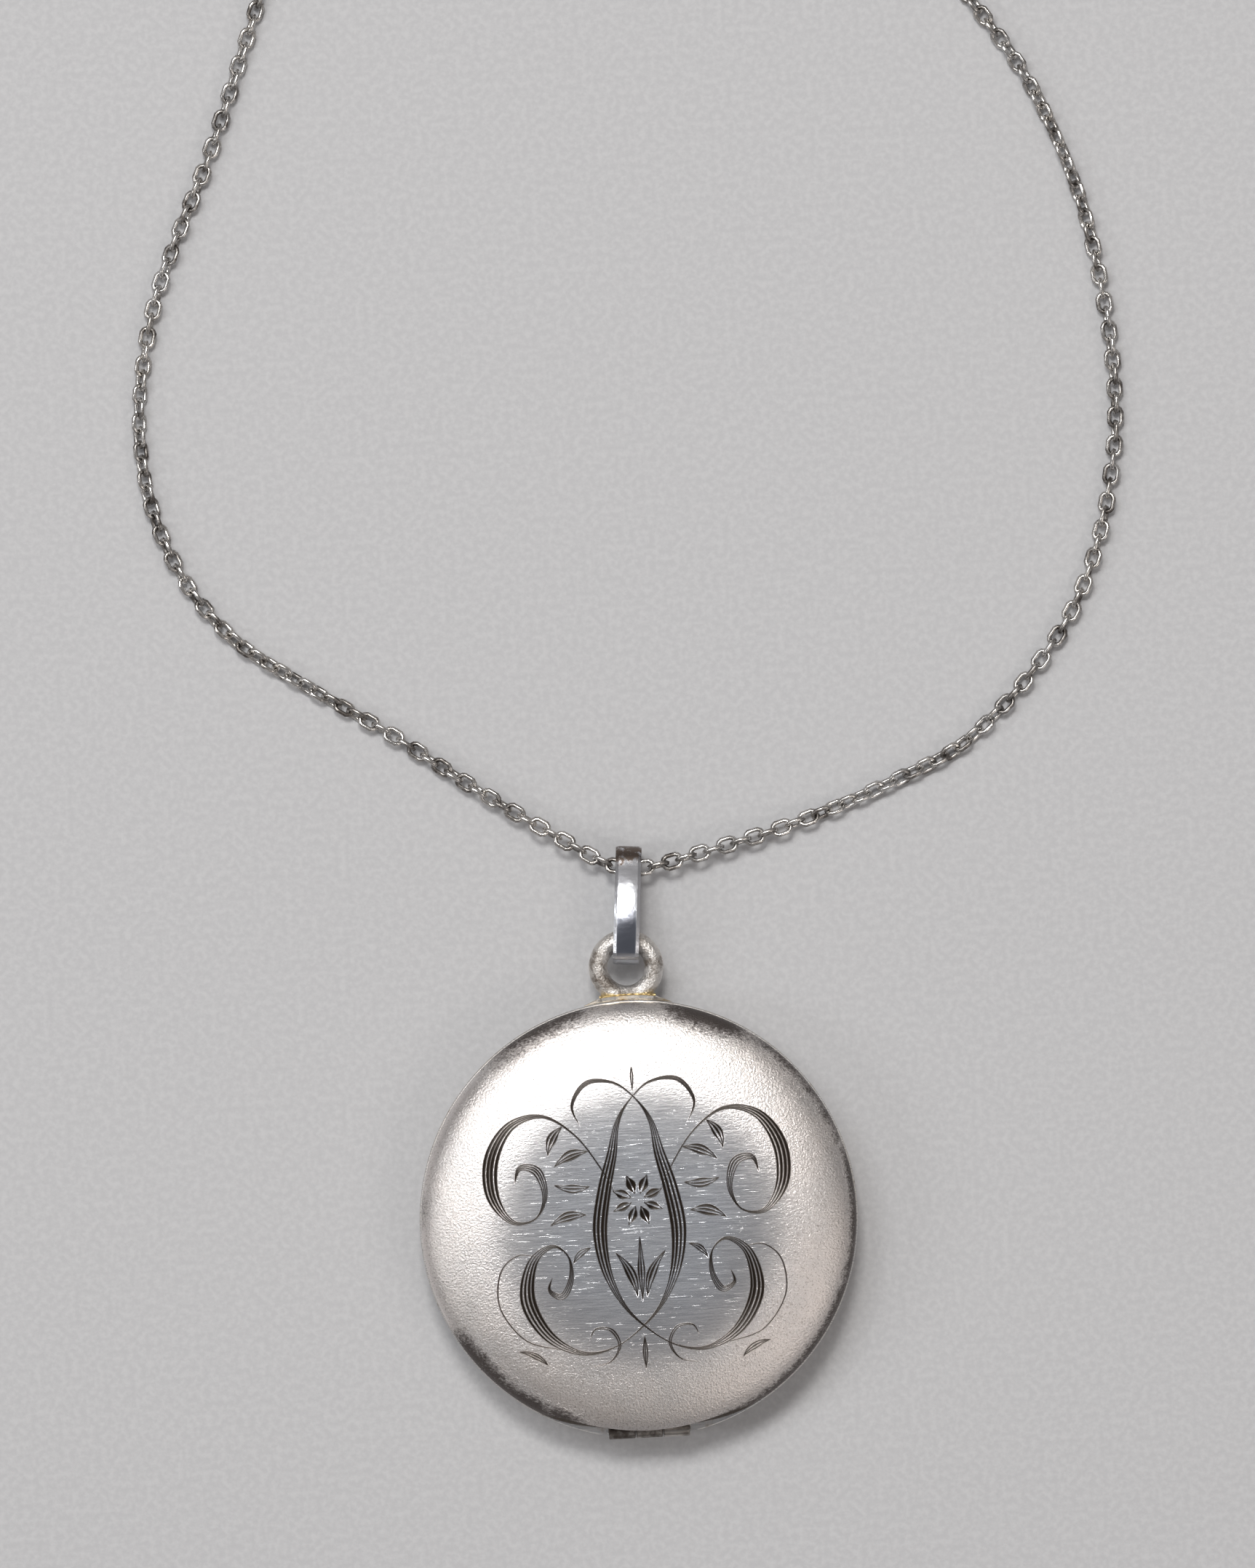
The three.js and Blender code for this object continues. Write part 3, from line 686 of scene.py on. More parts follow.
def leaf(x, y, bearing, length, width, bend=0.0):
    """A short stroke that swells and runs out again, bowed to its left by the bend."""
    along = Vector(polar(1, math.radians(bearing)))
    points = []
    for t, share in LEAF_SWELL:
        out = along * length * t + Vector((-along.y, along.x)) * bend * 4 * t * (1 - t) / 2
        points.append((x + out.x, y + out.y, width * share))
    return points


def nick_tool():
    reach = FRONT_RADIUS + NICK_RADIUS - WALL / 2
    ball = bmesh.new()
    bmesh.ops.create_uvsphere(ball, u_segments=48, v_segments=24, radius=NICK_RADIUS)
    bmesh.ops.translate(ball, verts=ball.verts[:],
                        vec=(*polar(reach, NICK_BEARING), FRONT_SEAM - NICK_RADIUS / 2))
    return to_piece("nick tool", ball)


def dress_face(mesh):
    """Notes how deep each point lies in the engraving and how far each face turns to the painted
    light, and keeps the face itself evenly curved.
    """
    depth = mesh.attributes.new("cut_depth", "FLOAT", "POINT")
    below = [face_height(v.co.xy.length) - v.co.z if v.co.z > FRONT_SPRING else 1.0
             for v in mesh.vertices]
    for value, drop in zip(depth.data, below):
        value.value = drop if 0 < drop < WALL * 0.9 else 0.0
    facing = mesh.attributes.new("painted_light_facing", "FLOAT", "FACE")
    for value, face in zip(facing.data, mesh.polygons):
        value.value = face.normal.dot(PAINTED_LIGHT_WALL)
    normals = [corner.vector.copy() for corner in mesh.corner_normals]
    for face in mesh.polygons:
        if all(abs(below[v]) < 2e-6 and mesh.vertices[v].co.xy.length < EVEN_RADIUS
               for v in face.vertices):
            for k in face.loop_indices:
                place = mesh.vertices[mesh.loops[k].vertex_index].co
                radius = place.xy.length
                fall = (radius / FRONT_RADIUS) ** 4
                steep = 2 * (front_high.z - FRONT_SPRING) * radius ** 3 / FRONT_RADIUS ** 4
                slope = steep / math.sqrt(max(1 - fall, 1e-6))
                outward = place.xy.normalized() if radius > 1e-7 else Vector((0, 0))
                normals[k] = Vector((outward.x * slope, outward.y * slope, 1)).normalized()
    mesh.normals_split_custom_set(normals)


def engraved_silver():
    finish = Finish("engraved face silver", metallic=1.0)
    apart = finish.new("ShaderNodeSeparateXYZ", {0: finish.place}).outputs
    flat_place = finish.new("ShaderNodeCombineXYZ", {0: apart[0], 1: apart[1], 2: 0.0}).outputs[0]
    out = finish.new("ShaderNodeVectorMath", {0: flat_place}, operation="LENGTH").outputs["Value"]
    bearing = finish.maths("ARCTAN2", apart[1], apart[0])
    # Brown tarnish and painted shade along the rim, broken up by grain.
    crumbs = finish.grain(0.00013, detail=4, roughness=0.75, stretch=(1.8, 1, 1))
    blotch = finish.grain(0.0012, detail=6, roughness=0.7)
    stain = 0.0
    for first, last, inner, strength in RIM_STAINS_AND_SHADE:
        start, end = math.radians(first), math.radians(last)
        begun = finish.between(bearing, start - STAIN_EASE, start + STAIN_EASE)
        ended = finish.between(bearing, end + STAIN_EASE, end - STAIN_EASE)
        reach = finish.between(out, inner - 0.0006, 0.0139, 0.0, strength)
        arc = finish.times(finish.times(begun, ended), reach)
        stain = finish.maths("MAXIMUM", stain, arc)
    broken = finish.plus(finish.times(crumbs, 1.6), finish.times(blotch, 0.9))
    brown = finish.plus(finish.times(stain, 1.15), finish.maths("SUBTRACT", broken, 1.8))
    brown = finish.times(finish.between(brown, -0.32, 0.42), 0.93)
    # Cooler in the rubbed smooth middle and warmer towards the satin edge: a painted reflection
    # tint.
    warm = finish.between(out, 0.004, 0.0115)
    clean = finish.mix(warm, RUBBED_COOL_REFLECTION_SILVER, SATIN_WARM_REFLECTION_SILVER)
    cloud = finish.between(finish.grain(0.0035, detail=4), 0.3, 0.72)
    clean = finish.mix(finish.times(cloud, 0.5), clean, CLOUDED_SILVER)
    depth = finish.new("ShaderNodeAttribute", {}, attribute_name="cut_depth").outputs["Fac"]
    black = finish.between(depth, 0.000008, 0.00006)
    satin = finish.between(out, 0.0068, 0.0112)
    pits = finish.between(finish.grain(0.00011, detail=2, roughness=0.6), 0.44, 0.34)
    pits = finish.times(pits, finish.times(satin, 0.6))
    coloured = finish.mix(brown, finish.mix(pits, clean, PIT_BROWN), RIM_BROWN_AND_SHADE)
    # Painted highlight: cut walls turned towards the light get a lighter colour than the dark
    # patina.
    facing = finish.new("ShaderNodeAttribute", {}, attribute_name="painted_light_facing").outputs["Fac"]
    lit = finish.between(facing, 0.38, 0.66)
    finish.set(Base_Color=finish.mix(black, coloured, finish.mix(lit, GROOVE_DARK, GROOVE_PAINTED_LIGHT)))
    # Rubbed in one direction: hairlines, a few of them deep, and satin stipple at the edge.
    hairs = finish.grain(0.000028, detail=2, stretch=(60, 1, 8), turn=-0.12)
    crossing = finish.grain(0.00004, detail=1, stretch=(30, 1, 8), turn=0.35)
    deep = finish.between(finish.grain(0.00006, detail=1, stretch=(26, 1, 8), turn=-0.2),
                          0.68, 0.75)
    stipple = finish.grain(0.00014, detail=3, roughness=0.65)
    rough = finish.plus(finish.times(satin, 0.07), 0.235)
    rough = finish.plus(rough, finish.times(finish.between(hairs, 0.35, 0.65), 0.06))
    rough = finish.plus(rough, finish.times(brown, 0.12))
    finish.set(Roughness=finish.plus(rough, finish.times(black, 0.2)))
    finish.raise_by(hairs, 0.0000016)
    finish.raise_by(crossing, 0.0000010)
    finish.raise_by(deep, 0.0000022)
    finish.raise_by(finish.times(stipple, finish.plus(satin, 0.12)), 0.000035)
    finish.raise_by(finish.times(crumbs, brown), 0.00004)
    return finish.material


engraved = to_piece("engraved_cover", front_cover(), engraved_silver())
tools = [*hinge_room(), nick_tool()]
for stroke, (cuts, points) in DROPS.items():
    tools.extend(graver_cuts(stroke, cuts, points, 1))
for petal in range(PETALS):
    turn = 360 * (petal + 0.5) / PETALS
    start = Vector(FLOWER) + PETAL_FROM * Vector(polar(1, math.radians(turn)))
    tools.extend(graver_cuts(f"petal {petal}", 2, leaf(*start, turn, PETAL_LENGTH, PETAL_WIDTH), 1))
for number, place in enumerate(LEAVES):
    for side in (1, -1):
        tools.extend(graver_cuts(f"leaf {number}", 3, leaf(*place), side))
for stroke, (cuts, points) in SCROLLS.items():
    for side in (1, -1):
        tools.extend(graver_cuts(stroke, cuts, points, side))
cut(engraved, *tools)
dress_face(engraved.data)
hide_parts("front_cover")
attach(engraved, "cover")

# ---------------------------------------------------------------- snap rim, front seat and frames
# Two turned rings soldered in the covers seat the pictures, and the front cover snaps over the
# lower one. A thin frame with a bevelled sight edge is pressed into each and holds the picture.
INSIDE_SILVER = (0.80, 0.785, 0.76)
INSIDE_TARNISH = (0.42, 0.35, 0.28)
RING_STEPS = 144
LEDGE = 0.0121
SNAP_WALL = 0.00034
SNAP_LEDGE = 0.0002
SNAP_LIP = 0.0001
SEAT_WALL = 0.0003
SEAT_LEDGE = 0.00015
SIGHT = 0.0113
FRAME_SKIRT = 0.0125
FRAME_SHEET = 0.00022
# The frame's face from its sight edge outwards, round a fine groove: (how far out, how deep).
FRAME_FACE = [(0, FRAME_SHEET), (0, 0.00016), (0.00008, 0.00006), (0.0002, 0), (0.0005, 0),
              (0.00054, 0.00004), (0.00062, 0.00004), (0.00066, 0)]
inside_silver = silver("bright inside silver", INSIDE_SILVER, 0.24, INSIDE_TARNISH, tarnished=0.4,
                       pits=0.000002)


def placed(name, form, body, slot, node, finish):
    piece = to_piece(name, form, finish)
    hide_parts(node)
    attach(piece, body)
    return piece


def snap_rim():
    low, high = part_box("snap_rim")
    outer = high.x
    inner = outer - SNAP_WALL
    shelf = low.z + SNAP_LEDGE
    eased = SNAP_LIP * 0.3
    return turned([
        (LEDGE, low.z), (outer, low.z), (outer, high.z - SNAP_LIP), (outer - eased, high.z - eased),
        (outer - SNAP_LIP, high.z), (inner, high.z), (inner, shelf), (LEDGE, shelf),
    ], RING_STEPS)


def front_seat():
    low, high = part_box("front_seat")
    lip_inside = high.x - SEAT_WALL
    ledge_under = high.z - SEAT_LEDGE
    return turned([
        (LEDGE, ledge_under), (lip_inside, ledge_under), (lip_inside, low.z), (high.x, low.z),
        (high.x, high.z), (LEDGE, high.z),
    ], RING_STEPS)


def picture_frame(node, facing):
    """facing is 1 where the frame is looked at from above, and -1 from below."""
    low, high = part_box(node)
    face = high.z if facing > 0 else low.z
    skirt = low.z if facing > 0 else high.z
    under = face - facing * FRAME_SHEET
    return turned([
        *((SIGHT + out, face - facing * deep) for out, deep in FRAME_FACE),
        (high.x - 0.00012, face), (high.x - 0.00004, face - facing * 0.00003),
        (high.x, face - facing * 0.00009), (high.x, skirt), (FRAME_SKIRT, skirt),
        (FRAME_SKIRT, under),
    ], RING_STEPS)


collar = placed("snap_collar", snap_rim(), "case", "silver_inside", "snap_rim", inside_silver)
cut(collar, *hinge_room())
placed("cover_seat", front_seat(), "cover", "silver_inside", "front_seat", inside_silver)
for half, body, facing in (("back", "case", 1), ("front", "cover", -1)):
    placed(f"{half}_bezel", picture_frame(f"{half}_frame", facing), body, "silver_inside",
           f"{half}_frame", inside_silver)

# ---------------------------------------------------------------- windows and pictures
# Discs punched from clear sheet celluloid, gone slightly yellow, each over a blank disc of aged
# card. The two frames hold them down in their seats.
CELLULOID = (0.97, 0.94, 0.85)
CELLULOID_YELLOW = (0.93, 0.87, 0.72)
CARD = (0.74, 0.66, 0.52)
CARD_FIBRE = (0.9, 0.86, 0.76)
CARD_FOXED = (0.52, 0.38, 0.24)


def celluloid():
    finish = Finish("yellowed celluloid", IOR=1.49, Transmission_Weight=0.96)
    cloud = finish.grain(0.003, detail=3)
    finish.set(
        Base_Color=finish.mix(finish.between(cloud, 0.4, 0.8), CELLULOID, CELLULOID_YELLOW),
        Roughness=finish.between(finish.grain(0.0004, stretch=(6, 1, 1)), 0.45, 0.75, 0.04, 0.14))
    finish.raise_by(cloud, 0.00001)
    return finish.material


def aged_card():
    finish = Finish("aged card")
    foxing = finish.between(finish.grain(0.0012, detail=5, roughness=0.65), 0.56, 0.78)
    fibre = finish.grain(0.00025, detail=5)
    spotted = finish.mix(foxing, CARD, CARD_FOXED)
    finish.set(Base_Color=finish.mix(finish.between(fibre, 0.2, 0.9, 0, 0.25), spotted, CARD_FIBRE),
               Roughness=finish.between(fibre, 0.2, 0.8, 0.75, 0.95))
    finish.raise_by(fibre, 0.00002)
    return finish.material


def disc(node):
    low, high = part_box(node)
    soft = (high.z - low.z) * 0.25
    return turned([
        (0, low.z), (high.x - soft, low.z), (high.x, low.z + soft), (high.x, high.z - soft),
        (high.x - soft, high.z), (0, high.z),
    ], RING_STEPS, closed=False)


clear = celluloid()
card = aged_card()
for half, body in (("back", "case"), ("front", "cover")):
    placed(f"{half}_celluloid", disc(f"{half}_window"), body, "window", f"{half}_window", clear)
    placed(f"{half}_card", disc(f"{half}_picture"), body, "picture_card", f"{half}_picture", card)

# ---------------------------------------------------------------- hinge
# Three lengths of drawn silver tube in a gutter across the bottom of the rim, the outer two on the
# back cover and the middle one on the front, on a steel pin with rounded ends.
HINGE_SILVER = (0.46, 0.44, 0.42)
HINGE_TARNISH = (0.11, 0.095, 0.085)
STEEL = (0.56, 0.57, 0.58)
STEEL_DULL = (0.16, 0.13, 0.11)
KNUCKLE_STEPS = 40
KNUCKLE_EASE = 0.00006
PIN_RADIUS = 0.00019
PIN_HEAD = 0.00008
BORE_RADIUS = 0.00022
hinge_silver = silver("hinge silver", HINGE_SILVER, 0.34, HINGE_TARNISH, tarnished=0.9)
steel = silver("hinge steel", STEEL, 0.3, STEEL_DULL, tarnished=0.4)


def laid_on_hinge(form, middle):
    """Turns a piece made upright round Z to lie along the hinge."""
    lie = Matrix.Translation((middle, HINGE.y, HINGE.z)) @ Matrix.Rotation(math.pi / 2, 4, "Y")
    bmesh.ops.transform(form, matrix=lie, verts=form.verts[:])
    return form


def knuckle(node):
    low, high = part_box(node)
    half = (high.x - low.x) / 2
    end = half - KNUCKLE_EASE
    eased = HINGE_RADIUS - KNUCKLE_EASE
    return laid_on_hinge(turned([
        (BORE_RADIUS, -half), (eased, -half), (HINGE_RADIUS, -end), (HINGE_RADIUS, end),
        (eased, half), (BORE_RADIUS, half),
    ], KNUCKLE_STEPS), (low.x + high.x) / 2)


def hinge_pin():
    low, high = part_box("hinge_pin")
    half = high.x - PIN_HEAD
    head = [(PIN_RADIUS * math.cos(math.radians(a)), half + PIN_HEAD * math.sin(math.radians(a)))
            for a in (0, 30, 60, 90)]
    head[-1] = (0, high.x)
    return laid_on_hinge(turned([(r, -z) for r, z in reversed(head)] + head, KNUCKLE_STEPS,
                                closed=False), 0)


for side, body in (("left", "case"), ("right", "case"), ("centre", "cover")):
    node = f"hinge_knuckle_{side}"
    placed(f"knuckle_{side}", knuckle(node), body, "silver_case", node, hinge_silver)
placed("pin", hinge_pin(), "case", "hinge_steel", "hinge_pin", steel)

# ---------------------------------------------------------------- top loop and foot
# A ring cast in silver, its skin still pitted, filed to the curve of a thin saddle and soldered to
# it. The saddle's ends are drawn out along the rim, and a little yellow solder shows in the joint.
LOOP_SILVER = (0.78, 0.76, 0.74)
LOOP_TARNISH = (0.22, 0.185, 0.155)
SADDLE_SILVER = (0.84, 0.80, 0.74)
SADDLE_TARNISH = (0.5, 0.38, 0.22)
SADDLE_EASE = 0.00008
SADDLE_STEPS = 49
SADDLE_FULL = 0.6                      # the share of its reach where it is at full size
SADDLE_TIP = 0.12
SOLDER = (0.88, 0.69, 0.34)
SOLDER_DULL = (0.52, 0.36, 0.16)
SOLDER_WIRE = 0.0001
SOLDER_SPREAD = math.radians(7.2)
SOLDER_STEPS = 41
SOLDER_STRETCH = 6.8
FOOT_INSIDE = CASE_RADIUS + 0.00002
FOOT_OUTSIDE = CASE_RADIUS + 0.00038
FOOT_SPREAD = math.radians(11.5)
FOOT_HEIGHT = 0.0013
loop_low, loop_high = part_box("top_loop")
LOOP_WIRE = (loop_high.z - loop_low.z) / 2
LOOP_CAST = 0.985                      # the wire's share that is left under its rough skin
LOOP_OUTER = loop_high.x
LOOP_MIDDLE = Vector((0, loop_high.y - LOOP_OUTER, (loop_low.z + loop_high.z) / 2))


def round_section(name, radius, corners=16):
    angles = [2 * math.pi * i / corners for i in range(corners)]
    return section_curve(name, [polar(radius, a) for a in angles])


def roughened(form, size, depth, seed):
    """Pushes the skin in and out a little, as casting, filing and wear leave it."""
    form.normal_update()
    shift = Vector((seed, seed, seed))
    for corner in form.verts:
        corner.co += corner.normal * depth * noise.noise(corner.co / size + shift)
    return form


def cast_loop():
    ring = wire_circle(LOOP_WIRE * LOOP_CAST, LOOP_OUTER - LOOP_WIRE, 32)
    spin_round(ring, ring.edges[:], 120)
    bmesh.ops.recalc_face_normals(ring, faces=ring.faces[:])
    bmesh.ops.translate(ring, vec=LOOP_MIDDLE, verts=ring.verts[:])
    roughened(ring, 0.0002, 0.00001, 3)
    roughened(ring, 0.001, 0.000016, 5)
    for corner in ring.verts:
        inward = FOOT_OUTSIDE / corner.co.xy.length
        if inward > 1:
            corner.co.x *= inward
            corner.co.y *= inward
    return ring


def arc_points(radius, first, last, count, height=0.0):
    angles = [first + (last - first) * i / (count - 1) for i in range(count)]
    return [(*polar(radius, a), height) for a in angles]


def saddle():
    across = (FOOT_OUTSIDE - FOOT_INSIDE) / 2
    up = FOOT_HEIGHT / 2
    eased = across - SADDLE_EASE
    end = up - SADDLE_EASE
    section = section_curve("saddle section", [
        (across, end), (eased, up), (-eased, up), (-across, end),
        (-across, -end), (-eased, -up), (eased, -up), (across, -end)])
    path = []
    sizes = []
    for k in range(SADDLE_STEPS):
        aside = 2 * k / (SADDLE_STEPS - 1) - 1
        angle = math.pi / 2 + FOOT_SPREAD * aside
        off = abs(aside)
        drawn_out = max(0.0, off - SADDLE_FULL) / (1 - SADDLE_FULL)
        size = max(SADDLE_TIP, 1 - drawn_out ** 0.7 * (1 - SADDLE_TIP))
        radius = FOOT_INSIDE + across * size
        path.append((*polar(radius, angle), LOOP_MIDDLE.z))
        sizes.append(size)
    return roughened(swept("saddle", path, section, sizes), 0.0005, 0.00001, 9)


def solder_bead():
    path = arc_points(FOOT_OUTSIDE, math.pi / 2 - SOLDER_SPREAD, math.pi / 2 + SOLDER_SPREAD,
                      SOLDER_STEPS, LOOP_MIDDLE.z)
    sizes = [1.05 + 0.2 * noise.noise(Vector((i * 0.37, 0, 4))) for i in range(SOLDER_STEPS)]
    bead = swept("bead", path, round_section("bead section", SOLDER_WIRE, 10), sizes)
    bmesh.ops.scale(bead, vec=(1, 1, SOLDER_STRETCH), verts=bead.verts[:],
                    space=Matrix.Translation(-LOOP_MIDDLE))
    return bead


placed("cast_loop", cast_loop(), "case", "silver_loop", "top_loop",
       silver("cast loop silver", LOOP_SILVER, 0.43, LOOP_TARNISH, tarnished=0.6,
              pits=0.00008, pit_size=0.00015))
placed("saddle_foot", saddle(), "case", "silver_loop", "loop_foot",
       silver("saddle silver", SADDLE_SILVER, 0.26, SADDLE_TARNISH, tarnished=0.6))
bead = to_piece("solder_bead", solder_bead(),
                silver("yellow solder", SOLDER, 0.3, SOLDER_DULL, tarnished=0.4))
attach(bead, "case")

# ---------------------------------------------------------------- bail
# A band of silver with chamfered edges, bent round the loop and the chain and soldered shut. Its
# front is a little bowed and crowned and its lower end folded sharply, and the lower half is
# darkened between the edges with painted shade.
BAIL_SILVER = (0.70, 0.715, 0.76)
# Painted shade: the darker colour laid on the lower half of the bail.
BAIL_PAINTED_SHADE = (0.33, 0.34, 0.385)
BAIL_TARNISH = (0.16, 0.125, 0.105)
BAIL_LENGTH = 0.00753
BAIL_WIDTH = 0.00164
BAIL_BAND = 0.0004
BAIL_HALF_DEPTH = 0.00142
BAIL_BELOW = 0.00151
BAIL_FOLD = 0.00042
BAIL_BOW = 0.0004
BAIL_CROWN = 0.00003
BAIL_CHAMFER = (0.0002, 0.00007)       # across its face, and down its side
# How far below the round top it is sheltered, and where the painted shade of the lower half begins;
# how far above the lower end, and how far in from the chamfers, the painted shade stops, leaving a
# painted highlight on the fold and the edges.
BAIL_SHELTER = (0.0019, 0.0006)
BAIL_PAINTED_SHADE_SPAN = (0.0032, 0.0048)
BAIL_FOLD_SHINE = (0.00035, 0.0007)
BAIL_EDGE_SHINE = 0.00008
BAIL_ASIDE = 0.0001
BAIL_PIVOT = joints["case_on_bail"]["pos_m"]
BAIL_YAW = math.radians(-4.5)
BAIL_DROOP = math.radians(10)


def bail_path():
    """The middle of the band, along X from the fold to the round top, and Y towards the front."""
    middle = BAIL_HALF_DEPTH - BAIL_BAND / 2
    low = BAIL_BAND / 2 - BAIL_BELOW
    bend = BAIL_LENGTH - BAIL_BELOW - BAIL_HALF_DEPTH
    fold = BAIL_FOLD
    corners = []
    for first, side in ((1.5, -1), (1.0, 1)):
        for i in range(5):
            out = polar(fold, math.pi * (first - i / 8))
            corners.append((low + fold + out[0], side * (middle - fold) + out[1]))
    run = bend - low - fold
    front = []
    for i in range(1, 16):
        t = i / 16
        front.append((low + fold + run * t, middle + BAIL_BOW * (1 - (2 * t - 1) ** 2)))
    top = []
    for i in range(19):
        out = polar(middle, math.pi * (0.5 - i / 18))
        top.append((bend + out[0], out[1]))
    rear = [(low + fold + run * (1 - i / 8), -middle) for i in range(1, 8)]
    return [(x, y, 0) for x, y in [*corners, *front, *top, *rear]]


def bail_silver():
    """Bright, but brown in mottled patches just under the round top, where nothing rubs it, and
    darkened with painted shade on its lower half.
    """
    finish = Finish("polished bail silver", metallic=1.0)
    place = finish.new("ShaderNodeSeparateXYZ", {0: finish.place}).outputs
    along = place[1]
    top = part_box("bail")[1].y
    mottle = finish.grain(0.0005, detail=6, roughness=0.75)
    sheltered = finish.between(along, *(top - down for down in BAIL_SHELTER))
    stain = finish.between(finish.plus(mottle, finish.times(sheltered, 0.34)), 0.66, 0.82)
    # Painted shade: the lower half is darkened, except on its edges, which keep the bright colour
    # as a painted highlight.
    across = finish.plus(finish.times(place[0], math.cos(BAIL_YAW)),
                         finish.times(place[1], math.sin(BAIL_YAW)))
    middle = BAIL_ASIDE * math.cos(BAIL_YAW) + BAIL_PIVOT[1] * math.sin(BAIL_YAW)
    off = finish.maths("ABSOLUTE", finish.maths("SUBTRACT", across, middle), 0.0)
    face = BAIL_WIDTH / 2 - BAIL_CHAMFER[0]
    inside = finish.between(off, face, face - BAIL_EDGE_SHINE)
    below = finish.between(along, *(top - down for down in BAIL_PAINTED_SHADE_SPAN))
    above = finish.between(along, *(top - BAIL_LENGTH + up for up in BAIL_FOLD_SHINE))
    painted_shade = finish.times(inside, finish.times(below, above))
    finish.set(
        Base_Color=finish.mix(stain, finish.mix(painted_shade, BAIL_SILVER, BAIL_PAINTED_SHADE), BAIL_TARNISH),
        Roughness=finish.plus(finish.times(stain, 0.2), 0.2))
    finish.raise_by(finish.grain(0.0011, detail=2), 0.00003)
    finish.raise_by(finish.grain(0.00012, detail=3, roughness=0.7), 0.000005)
    finish.raise_by(finish.grain(0.00003, detail=1, stretch=(1, 40, 6)), 0.0000012)
    return finish.material


def band_bail():
    half = BAIL_BAND / 2
    side = BAIL_WIDTH / 2
    face = side - BAIL_CHAMFER[0]
    edge = half - BAIL_CHAMFER[1]
    steps = [face * i / 4 for i in range(-4, 5)]
    section = section_curve("bail section", [
        *((half, z) for z in steps), (edge, side), (-edge, side), *((-half, -z) for z in steps),
        (-edge, -side), (edge, -side)])
    band = swept("band", bail_path(), section, closed=True)
    band.normal_update()
    for corner in band.verts:
        if corner.normal.y > 0:
            crown = max(0.0, 1 - (corner.co.z / face) ** 2)
            corner.co.y += BAIL_CROWN * crown * corner.normal.y
    upright = Matrix(((0, 0, 1, 0), (1, 0, 0, 0), (0, 1, 0, 0), (0, 0, 0, 1)))
    place = (Matrix.Translation((BAIL_ASIDE, BAIL_PIVOT[1], BAIL_PIVOT[2]))
             @ Matrix.Rotation(BAIL_YAW, 4, "Z") @ Matrix.Rotation(-BAIL_DROOP, 4, "X"))
    bmesh.ops.transform(band, matrix=place @ upright, verts=band.verts[:])
    return roughened(band, 0.0011, 0.00002, 11)


band = placed("band_bail", band_bail(), "bail", "silver_bail", "bail", bail_silver())
band.data.set_sharp_from_angle(angle=math.radians(13))

# ---------------------------------------------------------------- spring ring clasp
# A ring of silver tube with a mouth that a bolt closes. The bolt slides round inside the tube
# against a coiled spring, pulled back by a knob that runs in a slot. A small eye is soldered to
# the ring, and two jump rings join it to the ends of the chain.
CLASP_SILVER = (0.80, 0.785, 0.77)
CLASP_TARNISH = (0.25, 0.21, 0.18)
CLASP_PLACE = Vector(joints["clasp_bolt_turn"]["pos_m"])
CLASP_BEARING = math.radians(131.3)
CLASP_MIDDLE = 0.00225
CLASP_TUBE = 0.0005
CLASP_BORE = 0.00032
CLASP_SLOT = 0.00017
CLASP_SLOT_HEIGHT = 0.00046
BOLT_RADIUS = 0.00027
MOUTH = (95, 150)
BOLT = (45, 154)
KNOB_AT = 80
KNOB_PROFILE = [
    (0, 0.0003), (0.00013, 0.0003), (0.00013, 0.00054), (0.00022, 0.00058), (0.00031, 0.00063),
    (0.00036, 0.00072), (0.00036, 0.00082), (0.00031, 0.00091), (0.0002, 0.00097), (0, 0.001),
]
BOLT_TRAVEL = 48
SLOT_MARGIN = 7
MOUTH_MARGIN = 5
BORE_MARGIN = 3
SPRING = (-55, 43)
SPRING_TURNS = 14
SPRING_RADIUS = 0.00019
SPRING_WIRE = 0.00005
EYE_MIDDLE = 0.0006
EYE_WIRE = 0.0002
EYE_PLACE = CLASP_MIDDLE + CLASP_TUBE + EYE_MIDDLE + EYE_WIRE - 0.00003
TAIL_RING = (0.0007, 0.00017)
RUN_RING = (0.0012, 0.0002)
RUN_RING_PLACE = (-0.0025, 0, 0.00023)
RUN_RING_LEAN = math.radians(60)
clasp_at = Matrix.Translation(CLASP_PLACE) @ Matrix.Rotation(CLASP_BEARING, 4, "Z")
clasp_silver = silver("clasp silver", CLASP_SILVER, 0.2, CLASP_TARNISH, tarnished=0.45)


def clasp_arc(first, last, count, height=0.0):
    return arc_points(CLASP_MIDDLE, math.radians(first), math.radians(last), count, height)


def clasp_ring():
    outline = round_section("tube section", CLASP_TUBE, 28)
    tube = to_piece("spring_ring", swept("tube", clasp_arc(MOUTH[1], MOUTH[0] + 360, 120), outline),
                    clasp_silver)
    bore = round_section("bore section", CLASP_BORE, 20)
    slot = round_section("slot section", CLASP_SLOT, 12)
    slot_arc = clasp_arc(KNOB_AT - BOLT_TRAVEL - SLOT_MARGIN, KNOB_AT + SLOT_MARGIN, 30,
                         CLASP_SLOT_HEIGHT)
    bore_arc = clasp_arc(SPRING[0] - BORE_MARGIN, MOUTH[0] + MOUTH_MARGIN, 60)
    socket_arc = clasp_arc(MOUTH[1] - MOUTH_MARGIN, BOLT[1] + BORE_MARGIN, 8)
    cut(tube,
        to_piece("bore tool", swept("bore", bore_arc, bore)),
        to_piece("socket tool", swept("socket", socket_arc, bore)),
        to_piece("slot tool", swept("slot", slot_arc, slot)))
    tube.data.transform(clasp_at)
    return tube


def clasp_piece(name, form, body, node, finish):
    bmesh.ops.transform(form, matrix=clasp_at, verts=form.verts[:])
    slot = "hinge_steel" if finish is steel else "silver_clasp"
    return placed(name, form, body, slot, node, finish)


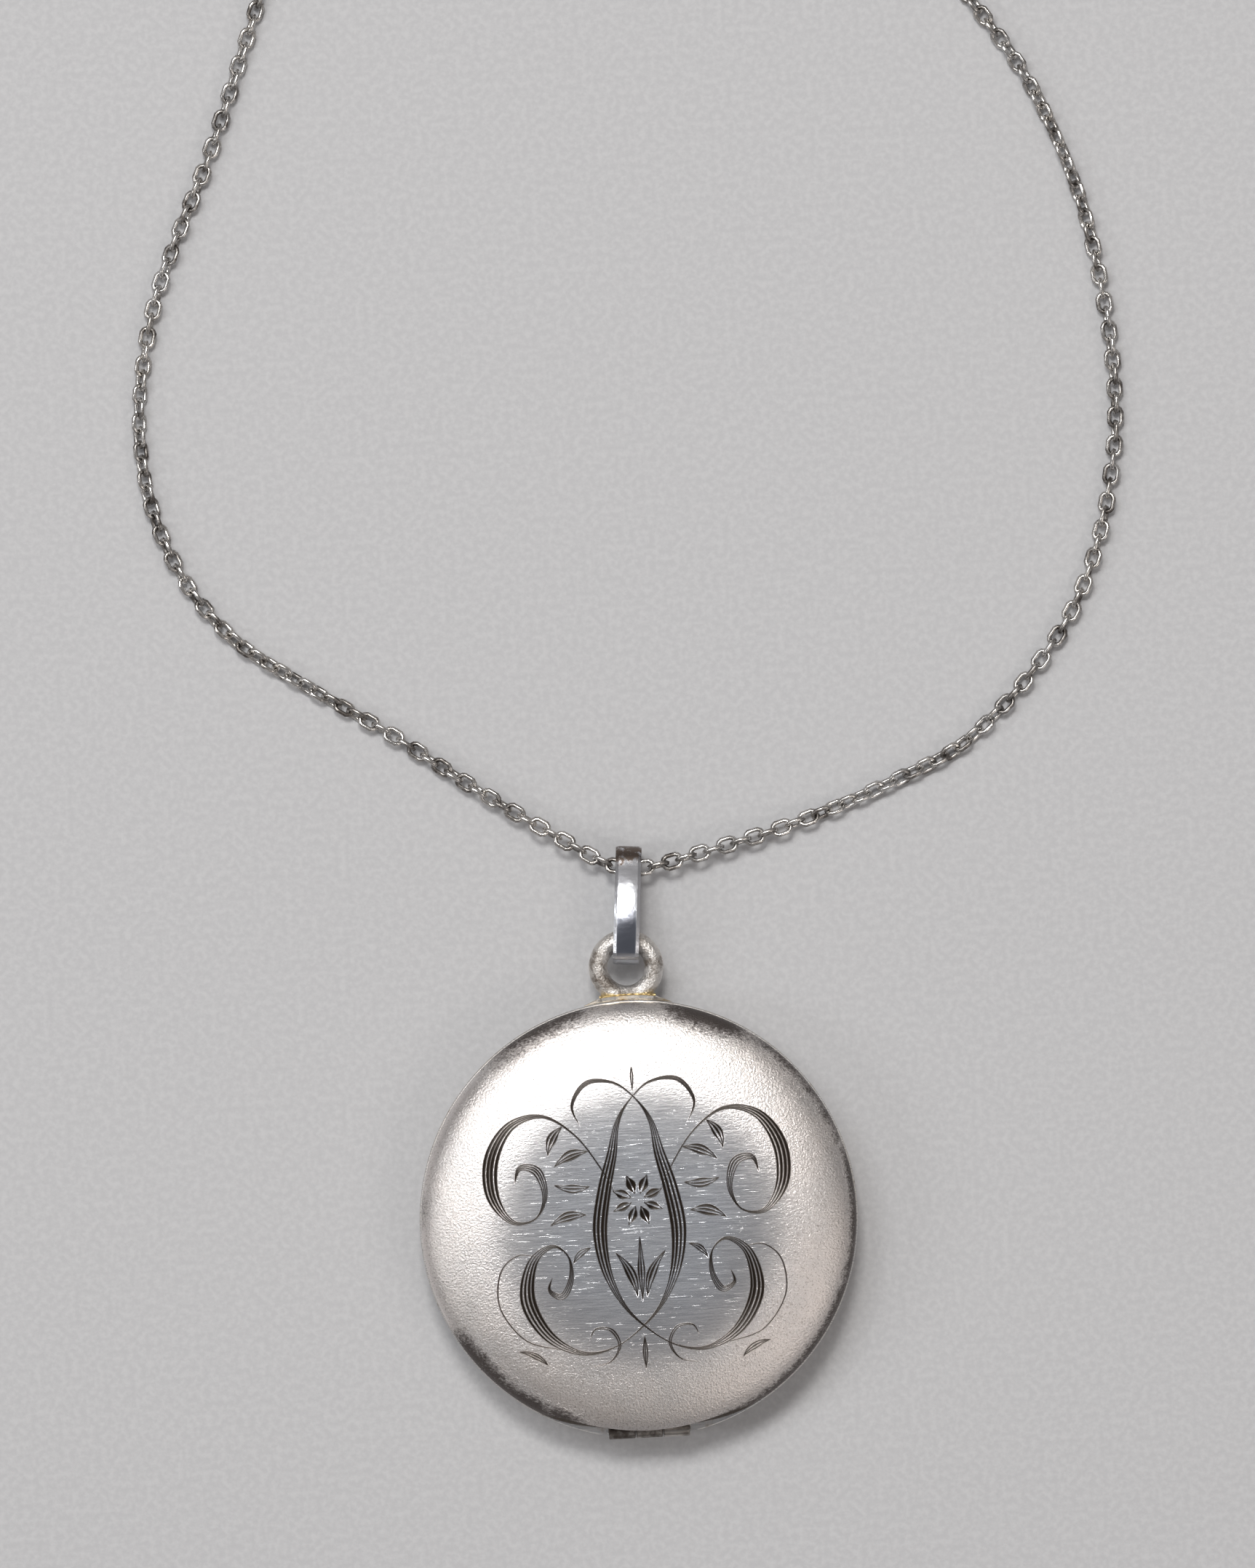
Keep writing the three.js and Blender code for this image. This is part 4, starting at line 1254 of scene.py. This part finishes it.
def clasp_bolt():
    count = 40
    tip = [min(1.0, 0.55 + 0.15 * (count - 1 - i)) for i in range(count)]
    outline = round_section("bolt section", BOLT_RADIUS, 20)
    return swept("bolt", clasp_arc(*BOLT, count), outline, tip)


def clasp_knob():
    knob = turned(KNOB_PROFILE, 32, closed=False)
    bmesh.ops.translate(knob, verts=knob.verts[:],
                        vec=(*polar(CLASP_MIDDLE, math.radians(KNOB_AT)), 0))
    return knob


def clasp_spring():
    count = SPRING_TURNS * 14
    path = []
    for i in range(count + 1):
        angle = math.radians(SPRING[0] + (SPRING[1] - SPRING[0]) * i / count)
        wound = 2 * math.pi * SPRING_TURNS * i / count
        radius = CLASP_MIDDLE + SPRING_RADIUS * math.cos(wound)
        path.append((*polar(radius, angle), SPRING_RADIUS * math.sin(wound)))
    return swept("spring", path, round_section("spring wire", SPRING_WIRE, 8), upright=False)


def wire_ring(middle, wire, place, lean, gap=0.0):
    """A ring of round wire, its ends a little apart at the gap, in degrees."""
    path = arc_points(middle, math.radians(200 + gap / 2), math.radians(560 - gap / 2), 57)
    ring = swept("ring", path if gap else path[:-1], round_section("ring wire", wire, 16),
                 closed=not gap)
    turn = Matrix.Translation(place) @ Matrix.Rotation(lean, 4, "X")
    bmesh.ops.transform(ring, matrix=turn, verts=ring.verts[:])
    return ring


spring_ring = clasp_ring()
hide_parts("clasp_ring")
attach(spring_ring, "chain")
clasp_parts = [
    spring_ring,
    clasp_piece("spring_ring_bolt", clasp_bolt(), "bolt", "clasp_bolt", clasp_silver),
    clasp_piece("spring_ring_knob", clasp_knob(), "bolt", "clasp_knob", clasp_silver),
    clasp_piece("spring_ring_eye", wire_ring(EYE_MIDDLE, EYE_WIRE, (EYE_PLACE, 0, 0), 0),
                "chain", "clasp_eye", clasp_silver),
    clasp_piece("tail_jump_ring",
                wire_ring(*TAIL_RING, (EYE_PLACE + TAIL_RING[0], 0, 0), math.pi / 2, 3),
                "chain", "jump_ring_tail", clasp_silver),
    clasp_piece("run_jump_ring", wire_ring(*RUN_RING, RUN_RING_PLACE, RUN_RING_LEAN, 2),
                "chain", "jump_ring_run", clasp_silver),
]
coil_spring = to_piece("bolt_spring", clasp_spring(), steel)
coil_spring.data.transform(clasp_at)
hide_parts("clasp_spring")
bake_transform(coil_spring)
